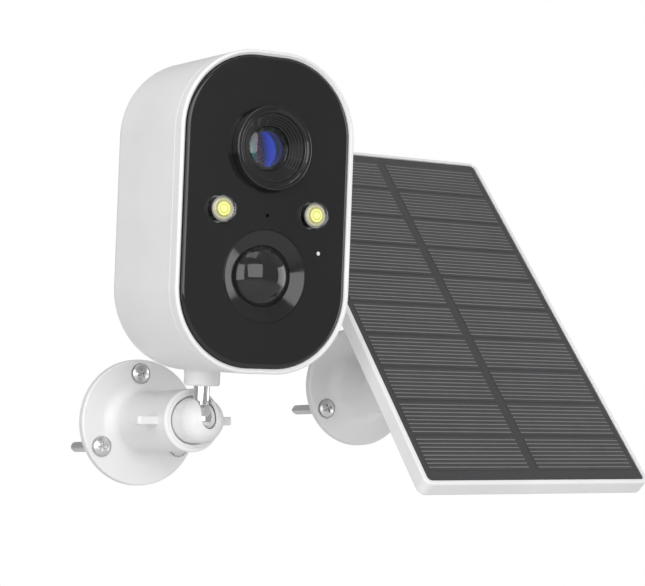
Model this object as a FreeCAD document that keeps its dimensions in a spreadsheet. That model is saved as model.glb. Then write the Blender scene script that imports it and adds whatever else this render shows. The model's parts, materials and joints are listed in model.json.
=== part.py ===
"""Solar-powered security camera: a battery camera and its solar panel, each on a ball-jointed wall bracket.

Row frame, millimetres: the origin is the centre of the camera bracket's back face, +Y goes into the wall,
the camera looks towards -Y, +X is to the right seen from the front, and +Z is up.

Each piece is drawn in a frame of its own and placed by an expression:
  bracket pieces  local Z runs from the wall to the ball, local Y is up
  studs           origin at the ball's centre, local Z along the stud
  camera pieces   origin behind the face's centre, level with the ball; -Y forward, Z up the body
  turned pieces   local Z forward, on an axis of their own on the face
  panel pieces    origin at the ball's centre, -Y towards the sun, Z up the panel
"""
import FreeCAD, Part
import math
import os
import re

import Sketcher
from FreeCAD import Vector

DIMENSIONS = {
    # wall brackets, measured out from the wall
    "reach": 47.0,
    "disc_radius": 21.3,
    "disc_thick": 3.0,
    "disc_round": 0.6,
    "tube_radius": 10.0,
    "tube_flare": 4.4,
    "tube_bore": 7.0,
    "tube_bore_depth": 25.0,
    "seam": 30.4,
    "spigot_radius": 7.6,
    "spigot_end": 38.3,
    "seat_radius": 6.4,
    "seat_start": 35.0,
    "seat_end": 44.1,
    "ball_radius": 5.6,
    "ball_gap": 0.25,
    "slip_gap": 0.3,
    # wall screws
    "screw_circle": 16.5,
    "screw_count": 3,
    "screw_hole": 2.2,
    "recess_radius": 3.6,
    "recess_depth": 0.8,
    "head_radius": 3.0,
    "head_height": 2.1,
    "head_crown": 0.9,
    "neck_radius": 1.9,
    "shank_radius": 1.75,
    "shank_length": 22.0,
    "point_length": 3.5,
    "cross_width": 0.8,
    "cross_span": 3.4,
    "cross_depth": 1.1,
    # wing nut and slotted clamp cap
    "nut_radius": 10.2,
    "nut_end": 42.0,
    "nut_cavity_start": 38.6,
    "nut_lip_start": 40.7,
    "collar_radius": 9.2,
    "collar_length": 0.8,
    "wing_reach": 17.0,
    "wing_thick": 2.7,
    "wing_start": 31.8,
    "wing_wide": 5.2,
    "wing_corner": 1.5,
    "wing_root": 1.0,
    "cap_radius": 7.4,
    "cap_skirt_bore": 6.8,
    "cap_step": 44.6,
    "flange_radius": 8.6,
    "flange_start": 39.0,
    "flange_end": 40.4,
    "slot_wide": 6.0,
    "slot_start": 41.8,
    # ball studs
    "stem_radius": 2.6,
    "stem_length": 10.9,
    "thread_radius": 2.95,
    "thread_end": 20.5,
    "thread_point": 0.8,
    # camera housing
    "nod": 4.1,
    "body_width": 60.0,
    "body_height": 98.0,
    "body_depth": 47.0,
    "body_corner": 25.5,
    "body_rise": 15.9,
    "front": 38.8,
    "rear_round": 5.0,
    "wall": 2.2,
    "rear_wall": 2.4,
    "rim_wide": 2.3,
    "rim_depth": 4.4,
    "rim_round": 0.7,
    "ledge_wide": 4.6,
    "ledge_depth": 3.0,
    "spigot_length": 2.0,
    "face_front": 38.6,
    "face_back": 36.6,
    "face_bevel": 0.8,
    "gasket_wide": 1.8,
    "boss_radius": 5.75,
    "boss_start": 11.0,
    "boss_end": 22.5,
    "boss_round": 0.8,
    "insert_radius": 4.2,
    "insert_bore": 3.0,
    "insert_start": 12.0,
    "insert_end": 22.0,
    "boss_mouth": 3.3,
    "post_x": 23.3,
    "post_up": 18.0,
    "post_radius": 2.3,
    "board_screw": 1.0,
    "board_screw_head": 2.1,
    "board_screw_head_height": 1.3,
    "board_screw_length": 9.0,
    "grille_hole": 0.7,
    "grille_pitch": 2.5,
    "grille_count": 5,
    # places on the face, from its centre
    "lens_up": 19.35,
    "pir_down": 19.35,
    "led_out": 16.0,
    "mic_down": 1.0,
    "status_x": 18.4,
    "status_down": 11.5,
    # lens
    "ring_radius": 12.9,
    "ring_raise": 3.5,
    "ring_bore": 10.6,
    "ring_flange": 14.2,
    "ring_bevel": 0.4,
    "flange_back": 35.4,
    "barrel_front": 41.3,
    "barrel_back": 26.0,
    "barrel_mouth": 9.6,
    "barrel_bore": 5.2,
    "barrel_steps": 4,
    "step_in": 0.65,
    "step_back": 0.7,
    "glass_back": 36.0,
    "glass_edge": 1.2,
    "glass_crown": 1.4,
    "element_back": 29.6,
    "element_thick": 1.4,
    "element_crown": 0.9,
    "holder_side": 17.0,
    "holder_corner": 2.0,
    "holder_bore": 4.8,
    "sensor_board_side": 24.0,
    "sensor_board_corner": 1.5,
    "sensor_board_back": 19.6,
    "sensor_board_thick": 1.2,
    "sensor_wide": 6.4,
    "sensor_high": 4.8,
    "sensor_thick": 1.0,
    # spotlights, motion sensor, microphone and status light
    "cap_face_radius": 4.3,
    "cap_raise": 3.2,
    "cap_round": 1.6,
    "cap_wall": 0.9,
    "led_flange": 5.0,
    "led_flange_thick": 0.6,
    "reflector_radius": 4.2,
    "reflector_throat": 2.4,
    "reflector_mouth": 3.8,
    "chip_side": 3.2,
    "chip_thick": 0.9,
    "pir_radius": 14.3,
    "pir_flange": 15.2,
    "dish_radius": 9.4,
    "dish_depth": 1.4,
    "dish_land": 0.3,
    "dome_crown": 4.8,
    "dome_wall": 0.8,
    "pir_can": 4.1,
    "pir_can_flange": 4.6,
    "pir_can_length": 4.2,
    "pir_can_base": 0.6,
    "mic_radius": 2.2,
    "mic_length": 2.0,
    "mic_hole": 0.6,
    "status_radius": 0.6,
    "front_board_front": 32.0,
    "front_board_thick": 1.2,
    "front_board_wide": 44.0,
    "front_board_high": 42.0,
    "front_board_down": 15.0,
    "front_board_corner": 6.0,
    # electronics and battery
    "board_front": 16.8,
    "board_thick": 1.6,
    "board_wide": 52.0,
    "board_high": 80.0,
    "board_corner": 21.5,
    "board_up": 3.0,
    "cell_radius": 9.2,
    "cell_length": 65.0,
    "cell_spread": 9.35,
    "cell_forward": 3.6,
    "cell_up": 6.0,
    "cradle_wide": 40.6,
    "cradle_high": 68.0,
    "cradle_back": 4.0,
    "cradle_front": 14.2,
    "cradle_wall": 1.2,
    "cradle_corner": 2.0,
    "speaker_radius": 7.5,
    "speaker_thick": 4.0,
    "speaker_forward": 22.0,
    "speaker_down": 42.5,
    "antenna_long": 20.0,
    "antenna_wide": 10.0,
    "antenna_thick": 0.4,
    # rear port, buttons and rubber flap
    "port_x": -7.0,
    "port_down": 34.5,
    "port_wide": 14.0,
    "port_high": 7.0,
    "port_corner": 1.5,
    "socket_x": -9.0,
    "socket_wide": 9.0,
    "socket_high": 3.3,
    "socket_wall": 0.35,
    "socket_back": -5.4,
    "socket_floor": 1.0,
    "tongue_margin": 2.6,
    "tongue_thick": 0.7,
    "tongue_sunk": 0.5,
    "reset_x": -2.2,
    "reset_radius": 1.0,
    "reset_back": -6.6,
    "power_x": 8.0,
    "power_radius": 3.2,
    "power_proud": 0.7,
    "power_bevel": 0.5,
    "retainer_wide": 1.0,
    "retainer_thick": 0.8,
    "button_front": -3.1,
    "switch_back": -2.4,
    "switch_side": 5.0,
    "reset_switch_side": 2.6,
    "port_board_back": 1.9,
    "port_board_thick": 1.2,
    "port_board_wide": 34.0,
    "port_board_high": 13.0,
    "port_board_corner": 1.5,
    "port_board_x": -2.0,
    "port_board_drop": 0.3,
    "flap_wide": 18.0,
    "flap_high": 10.4,
    "flap_thick": 1.4,
    "flap_gap": 0.15,
    "flap_plug": 1.2,
    "flap_corner": 2.0,
    "flap_round": 0.5,
    "plug_slack": 0.8,
    "grip_wide": 6.0,
    "grip_high": 1.4,
    "grip_corner": 0.6,
    "grip_proud": 0.7,
    "grip_up": 1.3,
    # solar panel
    "panel_x": 88.1,
    "panel_z": 13.9,
    "panel_lean": 39.2,
    "panel_wide": 88.0,
    "panel_long": 152.0,
    "panel_thick": 6.0,
    "panel_corner": 3.0,
    "panel_face": 27.5,
    "panel_rise": 9.9,
    "frame_wide": 4.0,
    "frame_round": 0.6,
    "lip_wide": 1.5,
    "lip_depth": 1.6,
    "cover_inset": 2.0,
    "cover_thick": 1.8,
    "backing_thick": 1.0,
    "cell_thick": 0.2,
    "sheet_thick": 0.3,
    "cell_columns": 2,
    "cell_rows": 10,
    "cell_side_margin": 2.3,
    "cell_low_margin": 4.3,
    "cell_high_margin": 3.3,
    "column_gap": 3.3,
    "row_gap": 1.0,
    "panel_boss": 7.2,
    "panel_boss_foot": 10.0,
    "corner_post": 3.0,
    "corner_post_in": 5.5,
    "cover_screw": 1.0,
    "cover_screw_head": 1.9,
    "cover_screw_sink": 1.0,
    "cover_screw_length": 3.2,
    "box_wide": 30.0,
    "box_high": 20.0,
    "box_deep": 9.0,
    "box_down": 36.0,
    "box_wall": 1.5,
    "box_corner": 2.5,
    "box_round": 1.2,
    "gland_radius": 3.4,
    "gland_tip": 2.6,
    "gland_length": 8.0,
    "gland_neck": 2.4,
    "gland_bore": 1.6,
    "charge_board_wide": 24.0,
    "charge_board_high": 14.0,
    "charge_board_thick": 1.2,
}

# how near an edge lies to a height or to an outline for a test to choose it
SAME = 0.01
TOUCH = 0.1

doc = FreeCAD.newDocument("solar_camera")
dims = doc.addObject("Spreadsheet::Sheet", "dims")
for row, (alias, number) in enumerate(DIMENSIONS.items(), start=1):
    dims.set(f"A{row}", alias)
    dims.set(f"B{row}", str(number))
    dims.setAlias(f"B{row}", alias)
doc.recompute()

pieces = []


# ---- expressions, sketches and features ----------------------------------------------------------------

def formula(text):
    """Write the sheet's name before each dimension in an expression."""
    return re.sub(r"[a-z_]+", lambda word: "dims." + word[0] if word[0] in DIMENSIONS else word[0], text)


def value(text):
    """An expression's present value."""
    return float(dims.evalExpression(formula(text)))


def bind(thing, **expressions):
    """Bind properties of an object to the sheet."""
    for name, text in expressions.items():
        thing.setExpression(name, formula(text))


def new_piece(label, frame):
    """A PartDesign body placed by an expression."""
    body = doc.addObject("PartDesign::Body", label)
    body.Label = label
    bind(body, Placement=frame)
    pieces.append(body)
    return body


def sketch_on(body, role, offset="0"):
    """An empty sketch on one of the body's own origin planes, moved along the plane's normal."""
    plane = next(item for item in body.Origin.OriginFeatures if item.Role == role)
    sketch = body.newObject("Sketcher::SketchObject", body.Label + "_sketch")
    sketch.AttachmentSupport = [(plane, "")]
    sketch.MapMode = "FlatFace"
    sketch.setExpression(".AttachmentOffset.Base.z", formula(offset))
    return sketch


def constrain(sketch, kind, references, text):
    """Add one dimension to a sketch and bind it to the sheet."""
    number = sketch.addConstraint(Sketcher.Constraint(kind, *references, value(text)))
    sketch.setExpression(f"Constraints[{number}]", formula(text))


def arc_between(start, end, radius, turn):
    """The shorter arc from start to end; turn is 1 for anticlockwise and -1 for clockwise."""
    middle = (start + end) / 2
    chord = end - start
    rise = math.sqrt(max(radius ** 2 - (chord.Length / 2) ** 2, 0.0))
    side = Vector(-chord.y, chord.x, 0).normalize()
    centre = middle + side * (rise * turn)
    first, last = (start, end) if turn > 0 else (end, start)
    angles = [math.atan2(point.y - centre.y, point.x - centre.x) for point in (first, last)]
    if angles[1] < angles[0]:
        angles[1] += 2 * math.pi
    return Part.ArcOfCircle(Part.Circle(centre, Vector(0, 0, 1), radius), *angles)


def add_loop(sketch, points):
    """A closed loop through points (x, y); (x, y, radius, turn) reaches the next point by an arc."""
    places = [Vector(value(point[0]), value(point[1]), 0) for point in points]
    edges = []
    for number, point in enumerate(points):
        start, end = places[number], places[(number + 1) % len(points)]
        if len(point) == 2:
            edges.append((sketch.addGeometry(Part.LineSegment(start, end), False), 1, 2))
            continue
        radius, turn = point[2], point[3]
        edge = sketch.addGeometry(arc_between(start, end, value(radius), turn), False)
        edges.append((edge, 1, 2) if turn > 0 else (edge, 2, 1))
        constrain(sketch, "Radius", (edge,), radius)
    for number, point in enumerate(points):
        edge, start, end = edges[number]
        following, its_start, _ = edges[(number + 1) % len(points)]
        sketch.addConstraint(Sketcher.Constraint("Coincident", edge, end, following, its_start))
        constrain(sketch, "DistanceX", (-1, 1, edge, start), point[0])
        constrain(sketch, "DistanceY", (-1, 1, edge, start), point[1])


def add_circle(sketch, x, y, radius):
    """A circle."""
    centre = Vector(value(x), value(y), 0)
    circle = sketch.addGeometry(Part.Circle(centre, Vector(0, 0, 1), value(radius)), False)
    constrain(sketch, "Radius", (circle,), radius)
    constrain(sketch, "DistanceX", (-1, 1, circle, 3), x)
    constrain(sketch, "DistanceY", (-1, 1, circle, 3), y)


def add_rectangle(sketch, wide, high, x="0", y="0"):
    """A rectangle about a centre."""
    left, right = f"{x} - ({wide}) / 2", f"{x} + ({wide}) / 2"
    low, top = f"{y} - ({high}) / 2", f"{y} + ({high}) / 2"
    add_loop(sketch, [(left, low), (right, low), (right, top), (left, top)])


def add_rounded(sketch, wide, high, corner, x="0", y="0"):
    """A rectangle with round corners about a centre."""
    left, right = f"{x} - ({wide}) / 2", f"{x} + ({wide}) / 2"
    low, top = f"{y} - ({high}) / 2", f"{y} + ({high}) / 2"
    inner_left, inner_right = f"{left} + {corner}", f"{right} - ({corner})"
    inner_low, inner_top = f"{low} + {corner}", f"{top} - ({corner})"
    add_loop(sketch, [
        (inner_left, low), (inner_right, low, corner, 1),
        (right, inner_low), (right, inner_top, corner, 1),
        (inner_right, top), (inner_left, top, corner, 1),
        (left, inner_top), (left, inner_low, corner, 1),
    ])


def feature(body, kind, sketch, **expressions):
    """A feature made from a sketch, which becomes the body's tip."""
    thing = body.newObject("PartDesign::" + kind, body.Label + "_" + kind.lower())
    thing.Profile = sketch
    bind(thing, **expressions)
    body.Tip = thing
    return thing


def pad(body, sketch, length):
    """Add material along the sketch's normal."""
    return feature(body, "Pad", sketch, Length=length)


def pocket(body, sketch, length, forward=False):
    """Cut against the sketch's normal, or along it when forward is true."""
    cut = feature(body, "Pocket", sketch, Length=length)
    cut.Reversed = forward
    return cut


def turn_piece(body, points, kind="Revolution"):
    """Turn a loop of (radius, height) points about the local Z axis."""
    sketch = sketch_on(body, "XZ_Plane")
    add_loop(sketch, points)
    turned = feature(body, kind, sketch)
    turned.ReferenceAxis = (sketch, ["V_Axis"])
    turned.Angle = 360
    return turned


def around(body, originals, count):
    """Repeat features evenly about the local Z axis."""
    doc.recompute()
    pattern = body.newObject("PartDesign::PolarPattern", body.Label + "_pattern")
    pattern.Originals = originals
    pattern.Axis = (next(item for item in body.Origin.OriginFeatures if item.Role == "Z_Axis"), [""])
    pattern.Angle = 360
    bind(pattern, Occurrences=count)
    body.Tip = pattern


def soften(body, kind, size, chosen):
    """Fillet or chamfer the edges of the body's tip that the test chooses."""
    doc.recompute()
    base = body.Tip
    names = [f"Edge{number}" for number, edge in enumerate(base.Shape.Edges, 1) if chosen(edge)]
    dress = body.newObject("PartDesign::" + kind, body.Label + "_" + kind.lower())
    dress.Base = (base, names)
    bind(dress, **{"Radius" if kind == "Fillet" else "Size": size})
    body.Tip = dress


def level(edge, axis, height):
    """Whether an edge lies wholly at one height along an axis."""
    low = getattr(edge.BoundBox, axis + "Min")
    high = getattr(edge.BoundBox, axis + "Max")
    return abs(low - height) < SAME and abs(high - height) < SAME


def on_border(edge, half, low, top):
    """Whether an edge reaches the outline's left or right side, its lowest or its highest line."""
    box = edge.BoundBox
    return (box.XMax > half - TOUCH or box.XMin < TOUCH - half
            or box.ZMax > top - TOUCH or box.ZMin < low + TOUCH)


def part_box(name, corner, size):
    """A Part::Box whose corner and size are bound to the sheet."""
    box = doc.addObject("Part::Box", name)
    bind(box, Length=size[0], Width=size[1], Height=size[2])
    for axis, text in zip("xyz", corner):
        box.setExpression(".Placement.Base." + axis, formula(text))
    return box


def part_cylinder(name, foot, radius, height, turned="0"):
    """A Part::Cylinder standing on its foot, tipped about the X axis."""
    cylinder = doc.addObject("Part::Cylinder", name)
    bind(cylinder, Radius=radius, Height=height, Placement=move(*foot, turned))
    return cylinder


def group(label, frame, solids):
    """Separate solids that share one node."""
    compound = doc.addObject("Part::Compound", label)
    compound.Label = label
    compound.Links = solids
    bind(compound, Placement=frame)
    pieces.append(compound)
    return compound


def move(x="0", y="0", z="0", tip="0"):
    """A shift and a tip about the X axis, as an expression."""
    return f"placement(vector({x}; {y}; {z}); rotation(vector(1; 0; 0); {tip}))"


CAMERA_BRACKET = move(tip="90")
PANEL_BRACKET = move("panel_x", "0", "panel_z", "90")
CAMERA_BALL = move("0", "-reach", "0", "nod")
PANEL_BALL = move("panel_x", "-reach", "panel_z", "-panel_lean")
PANEL_STUD = PANEL_BALL + " * " + move(tip="90")
FACE = CAMERA_BALL + " * " + move("0", "0", "body_rise + body_height / 2")


def on_face(x, up):
    """The frame of a piece turned about an axis on the face, local Z forward."""
    return FACE + " * " + move(x, "0", up, "90")


# ---- wall brackets -------------------------------------------------------------------------------------

def bracket(label, frame):
    """Flange disc, flared tube and threaded spigot in one moulding, hollow from the wall."""
    body = new_piece(label, frame)
    flare_end = "disc_thick + tube_flare"
    turn_piece(body, [
        ("tube_bore", "0"), ("disc_radius", "0"), ("disc_radius", "disc_thick"),
        ("tube_radius + tube_flare", "disc_thick", "tube_flare", -1),
        ("tube_radius", flare_end), ("tube_radius", "seam"), ("spigot_radius", "seam"),
        ("spigot_radius", "spigot_end"), ("seat_radius", "spigot_end"), ("seat_radius", "seat_start"),
        ("0", "seat_start"), ("0", "tube_bore_depth"), ("tube_bore", "tube_bore_depth"),
    ])
    recess_sketch = sketch_on(body, "XY_Plane", "disc_thick + tube_flare")
    add_circle(recess_sketch, "0", "screw_circle", "recess_radius")
    recess = pocket(body, recess_sketch, "recess_depth + tube_flare")
    hole_sketch = sketch_on(body, "XY_Plane", "disc_thick")
    add_circle(hole_sketch, "0", "screw_circle", "screw_hole")
    hole = pocket(body, hole_sketch, "disc_thick + 1")
    around(body, [recess, hole], "screw_count")
    rim = value("disc_thick")
    reach = value("disc_radius")
    soften(body, "Fillet", "disc_round",
           lambda edge: level(edge, "Z", rim) and edge.BoundBox.XMax > reach - TOUCH)


def wall_screws(label, frame):
    """Three pan-head cross-recess screws; their shanks stand out of the back face, into the wall."""
    body = new_piece(label, frame)
    base = "disc_thick - recess_depth"
    crown = "(head_radius * head_radius + head_crown * head_crown) / (2 * head_crown)"
    sketch = sketch_on(body, "YZ_Plane")
    axis = "screw_circle"
    add_loop(sketch, [
        (axis, "-shank_length"), (f"{axis} + shank_radius", "-shank_length + point_length"),
        (f"{axis} + shank_radius", "0"), (f"{axis} + neck_radius", "0"),
        (f"{axis} + neck_radius", base), (f"{axis} + head_radius", base),
        (f"{axis} + head_radius", f"{base} + head_height - head_crown", crown, 1),
        (axis, f"{base} + head_height"),
    ])
    turned = feature(body, "Revolution", sketch)
    turned.Angle = 360
    line = sketch.addGeometry(Part.LineSegment(Vector(value(axis), -5, 0), Vector(value(axis), 5, 0)), True)
    constrain(sketch, "DistanceX", (-1, 1, line, 1), axis)
    constrain(sketch, "DistanceX", (-1, 1, line, 2), axis)
    turned.ReferenceAxis = (sketch, ["Axis0"])
    cross = sketch_on(body, "XY_Plane", f"{base} + head_height")
    arm, half = "cross_span / 2", "cross_width / 2"
    add_loop(cross, [
        (f"-{arm}", f"{axis} - {half}"), (f"-{half}", f"{axis} - {half}"), (f"-{half}", f"{axis} - {arm}"),
        (half, f"{axis} - {arm}"), (half, f"{axis} - {half}"), (arm, f"{axis} - {half}"),
        (arm, f"{axis} + {half}"), (half, f"{axis} + {half}"), (half, f"{axis} + {arm}"),
        (f"-{half}", f"{axis} + {arm}"), (f"-{half}", f"{axis} + {half}"), (f"-{arm}", f"{axis} + {half}"),
    ])
    cut = pocket(body, cross, "cross_depth")
    around(body, [turned, cut], "screw_count")


def ball_seat(label, frame):
    """Nylon cup pressed into the spigot; the ball bears on its hollow end."""
    body = new_piece(label, frame)
    turn_piece(body, [("0", "seat_start"), ("seat_radius", "seat_start"), ("seat_radius", "seat_end"),
                      ("0", "seat_end")])
    cup = "ball_radius + ball_gap"
    turn_piece(body, [("0", f"reach - ({cup})", cup, 1), (cup, "reach"), ("0", "reach")], "Groove")


def clamp_cap(label, frame):
    """Slotted dome over the ball; its flange sits under the wing nut's lip."""
    body = new_piece(label, frame)
    bore = "ball_radius + ball_gap + 0.05"
    turn_piece(body, [
        ("cap_skirt_bore", "flange_start"), ("flange_radius", "flange_start"), ("flange_radius", "flange_end"),
        ("cap_radius", "flange_end"), ("cap_radius", "reach", "cap_radius", 1), ("0", "reach + cap_radius"),
        ("0", f"reach + {bore}", bore, -1), (bore, "reach"), (bore, "cap_step"), ("cap_skirt_bore", "cap_step"),
    ])
    slot = sketch_on(body, "XY_Plane", "reach + cap_radius + 1")
    add_rectangle(slot, "slot_wide", "flange_radius + 2", "0", "(flange_radius + 2) / 2")
    pocket(body, slot, "reach + cap_radius + 1 - slot_start")
    end = sketch_on(body, "XY_Plane", "reach + cap_radius + 1")
    add_circle(end, "0", "0", "slot_wide / 2")
    pocket(body, end, "cap_radius + 1")


def wing_nut(label, frame):
    """Knurled ring with two flat wings, threaded inside, whose front lip pulls the cap back on the ball."""
    body = new_piece(label, frame)
    thread = "spigot_radius + slip_gap"
    cavity = "flange_radius + slip_gap"
    start = "seam + slip_gap"
    turn_piece(body, [
        (thread, start), ("nut_radius", start), ("nut_radius", "nut_end - collar_length"),
        ("collar_radius", "nut_end - collar_length"), ("collar_radius", "nut_end"),
        ("cap_radius + slip_gap", "nut_end"), ("cap_radius + slip_gap", "nut_lip_start"),
        (cavity, "nut_lip_start"), (cavity, "nut_cavity_start"), (thread, "nut_cavity_start"),
    ])
    for side in ("", "-"):
        plate = sketch_on(body, "XZ_Plane", "-wing_thick / 2")
        root, tip, corner = f"{side}(nut_radius - wing_root)", "wing_reach", "wing_corner"
        end = "wing_start + wing_wide"
        turn = 1 if side == "" else -1
        add_loop(plate, [
            (root, "wing_start"), (f"{side}({tip} - {corner})", "wing_start", corner, turn),
            (f"{side}{tip}", f"wing_start + {corner}"), (f"{side}{tip}", f"{end} - {corner}", corner, turn),
            (f"{side}({tip} - {corner})", end), (root, end),
        ])
        pad(body, plate, "wing_thick")


def ball_stud(label, frame):
    """Chrome ball, stem and threaded end."""
    body = new_piece(label, frame)
    root = "sqrt(ball_radius * ball_radius - stem_radius * stem_radius)"
    turn_piece(body, [
        ("0", "-ball_radius", "ball_radius", 1), ("ball_radius", "0", "ball_radius", 1), ("stem_radius", root),
        ("stem_radius", "stem_length"), ("thread_radius", "stem_length"), ("thread_radius", "thread_end - thread_point"),
        ("thread_radius - thread_point", "thread_end"), ("0", "thread_end"),
    ])


# ---- camera housing ------------------------------------------------------------------------------------

def add_body_outline(sketch, inset):
    """The body's rounded outline, moved in by an inset."""
    add_rounded(sketch, f"body_width - 2 * ({inset})", f"body_height - 2 * ({inset})",
                f"(body_corner - ({inset}))")


def main_shell():
    """Tub open to the front, with the stud boss, board posts, port, button hole and speaker grille."""
    body = new_piece("main_shell", FACE)
    mouth = "front - rim_depth"
    rear = "front - body_depth"
    outer = sketch_on(body, "XZ_Plane", rear)
    add_body_outline(outer, "0")
    pad(body, outer, f"{mouth} - ({rear})")
    back = -value(rear)
    soften(body, "Fillet", "rear_round", lambda edge: level(edge, "Y", back))
    hollow = sketch_on(body, "XZ_Plane", mouth)
    add_body_outline(hollow, "wall")
    pocket(body, hollow, f"{mouth} - ({rear}) - rear_wall")
    centre = "body_rise + body_height / 2"
    boss = sketch_on(body, "XY_Plane", f"boss_start - ({centre})")
    add_circle(boss, "0", "0", "boss_radius")
    pad(body, boss, "boss_end - boss_start")
    bore = sketch_on(body, "XY_Plane", f"boss_end - ({centre})")
    add_circle(bore, "0", "0", "insert_radius")
    pocket(body, bore, "boss_end - insert_start")
    lip = sketch_on(body, "XY_Plane", f"boss_end - ({centre})")
    add_circle(lip, "0", "0", "boss_mouth")
    pocket(body, lip, "boss_end - boss_start + 1")
    foot = value(f"boss_start - ({centre})")
    wide = value("2 * boss_radius")
    soften(body, "Fillet", "boss_round",
           lambda edge: level(edge, "Z", foot) and edge.BoundBox.XLength > wide - TOUCH)
    posts = sketch_on(body, "XZ_Plane", f"{rear} + rear_wall - 0.5")
    holes = sketch_on(body, "XZ_Plane", "board_front - board_thick")
    for x in ("post_x", "-post_x"):
        for up in ("post_up", "-post_up"):
            add_circle(posts, x, up, "post_radius")
            add_circle(holes, x, up, "board_screw")
    pad(body, posts, f"board_front - board_thick - ({rear} + rear_wall - 0.5)")
    pocket(body, holes, "board_screw_length")
    port = sketch_on(body, "XZ_Plane", f"{rear} + rear_wall + 1")
    add_rounded(port, "port_wide", "port_high", "port_corner", "port_x", "-port_down")
    add_circle(port, "power_x", "-port_down", "power_radius + slip_gap")
    pocket(body, port, "rear_wall + 2")
    grille = sketch_on(body, "XY_Plane", "wall + 1 - body_height / 2")
    half = DIMENSIONS["grille_count"] // 2
    for step in range(-half, half + 1):
        add_circle(grille, "0", f"-speaker_forward + ({step}) * grille_pitch", "grille_hole")
    pocket(body, grille, "wall + 2")


def front_rim():
    """Bezel with a proud front edge, a ledge for the black face and a spigot into the shell."""
    body = new_piece("front_rim", FACE)
    base = "front - rim_depth"
    band = sketch_on(body, "XZ_Plane", base)
    add_body_outline(band, "0")
    add_body_outline(band, "ledge_wide")
    pad(body, band, "rim_depth")
    opening = sketch_on(body, "XZ_Plane", "front")
    add_body_outline(opening, "rim_wide")
    pocket(body, opening, "ledge_depth")
    spigot = sketch_on(body, "XZ_Plane", f"{base} - spigot_length")
    add_body_outline(spigot, "wall")
    add_body_outline(spigot, "ledge_wide")
    pad(body, spigot, "spigot_length")
    edge_y = -value("front")
    half = value("body_width / 2")
    top = value("body_height / 2")
    soften(body, "Fillet", "rim_round",
           lambda edge: level(edge, "Y", edge_y) and on_border(edge, half, -top, top))


def face_panel():
    """Glossy black face with openings for the lens, motion sensor, spotlights, microphone and status light."""
    body = new_piece("face_panel", FACE)
    plate = sketch_on(body, "XZ_Plane", "face_back")
    add_body_outline(plate, "rim_wide")
    add_circle(plate, "0", "lens_up", "ring_radius")
    add_circle(plate, "0", "-pir_down", "pir_radius")
    add_circle(plate, "led_out", "0", "cap_face_radius")
    add_circle(plate, "-led_out", "0", "cap_face_radius")
    add_circle(plate, "0", "-mic_down", "mic_hole")
    add_circle(plate, "status_x", "-status_down", "status_radius")
    pad(body, plate, "face_front - face_back")
    edge_y = -value("face_front")
    # the openings are whole circles, with one vertex each; the outline's edges have two
    soften(body, "Chamfer", "face_bevel", lambda edge: level(edge, "Y", edge_y) and len(edge.Vertexes) == 2)


def face_gasket():
    """Silicone ring between the black face and the bezel's ledge."""
    body = new_piece("face_gasket", FACE)
    ring = sketch_on(body, "XZ_Plane", "front - ledge_depth")
    add_body_outline(ring, "rim_wide")
    add_body_outline(ring, "rim_wide + gasket_wide")
    pad(body, ring, "face_back - (front - ledge_depth)")


def mount_insert(label, frame):
    """Threaded brass bush that the stud screws into."""
    body = new_piece(label, frame)
    turn_piece(body, [("insert_bore", "insert_start"), ("insert_radius", "insert_start"),
                      ("insert_radius", "insert_end"), ("insert_bore", "insert_end")])


# ---- lens and camera module ----------------------------------------------------------------------------

def lens_ring():
    """Raised glossy collar round the lens, with a flange behind the face."""
    body = new_piece("lens_ring", on_face("0", "lens_up"))
    top = "face_front + ring_raise"
    turn_piece(body, [("ring_bore", "flange_back"), ("ring_flange", "flange_back"), ("ring_flange", "face_back"),
                      ("ring_radius", "face_back"), ("ring_radius", f"{top} - ring_bevel"),
                      ("ring_radius - ring_bevel", top), ("ring_bore", top)])


def lens_barrel():
    """Black barrel whose mouth narrows in steps to the front glass."""
    body = new_piece("lens_barrel", on_face("0", "lens_up"))
    steps = []
    for step in range(DIMENSIONS["barrel_steps"]):
        depth = f"barrel_front - {step + 1} * step_back"
        steps.append((f"barrel_mouth - {step} * step_in", depth))
        steps.append((f"barrel_mouth - {step + 1} * step_in", depth))
    seat = f"barrel_mouth - {DIMENSIONS['barrel_steps']} * step_in"
    turn_piece(body, [("barrel_bore", "barrel_back"), ("ring_bore", "barrel_back"), ("ring_bore", "barrel_front"),
                      ("barrel_mouth", "barrel_front")] + steps
               + [(seat, "glass_back"), ("barrel_bore", "glass_back")])


def lens_front_glass():
    """Front element, domed outwards."""
    body = new_piece("lens_front_glass", on_face("0", "lens_up"))
    rim = f"(barrel_mouth - {DIMENSIONS['barrel_steps']} * step_in)"
    crown = f"({rim} * {rim} + glass_crown * glass_crown) / (2 * glass_crown)"
    turn_piece(body, [("0", "glass_back"), (rim, "glass_back"), (rim, "glass_back + glass_edge", crown, 1),
                      ("0", "glass_back + glass_edge + glass_crown")])


def lens_inner_element():
    """Second element, domed on both sides."""
    body = new_piece("lens_inner_element", on_face("0", "lens_up"))
    crown = "(barrel_bore * barrel_bore + element_crown * element_crown) / (2 * element_crown)"
    front = "element_back + element_thick"
    turn_piece(body, [("0", "element_back - element_crown", crown, 1), ("barrel_bore", "element_back"),
                      ("barrel_bore", front, crown, 1), ("0", f"{front} + element_crown")])


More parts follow.
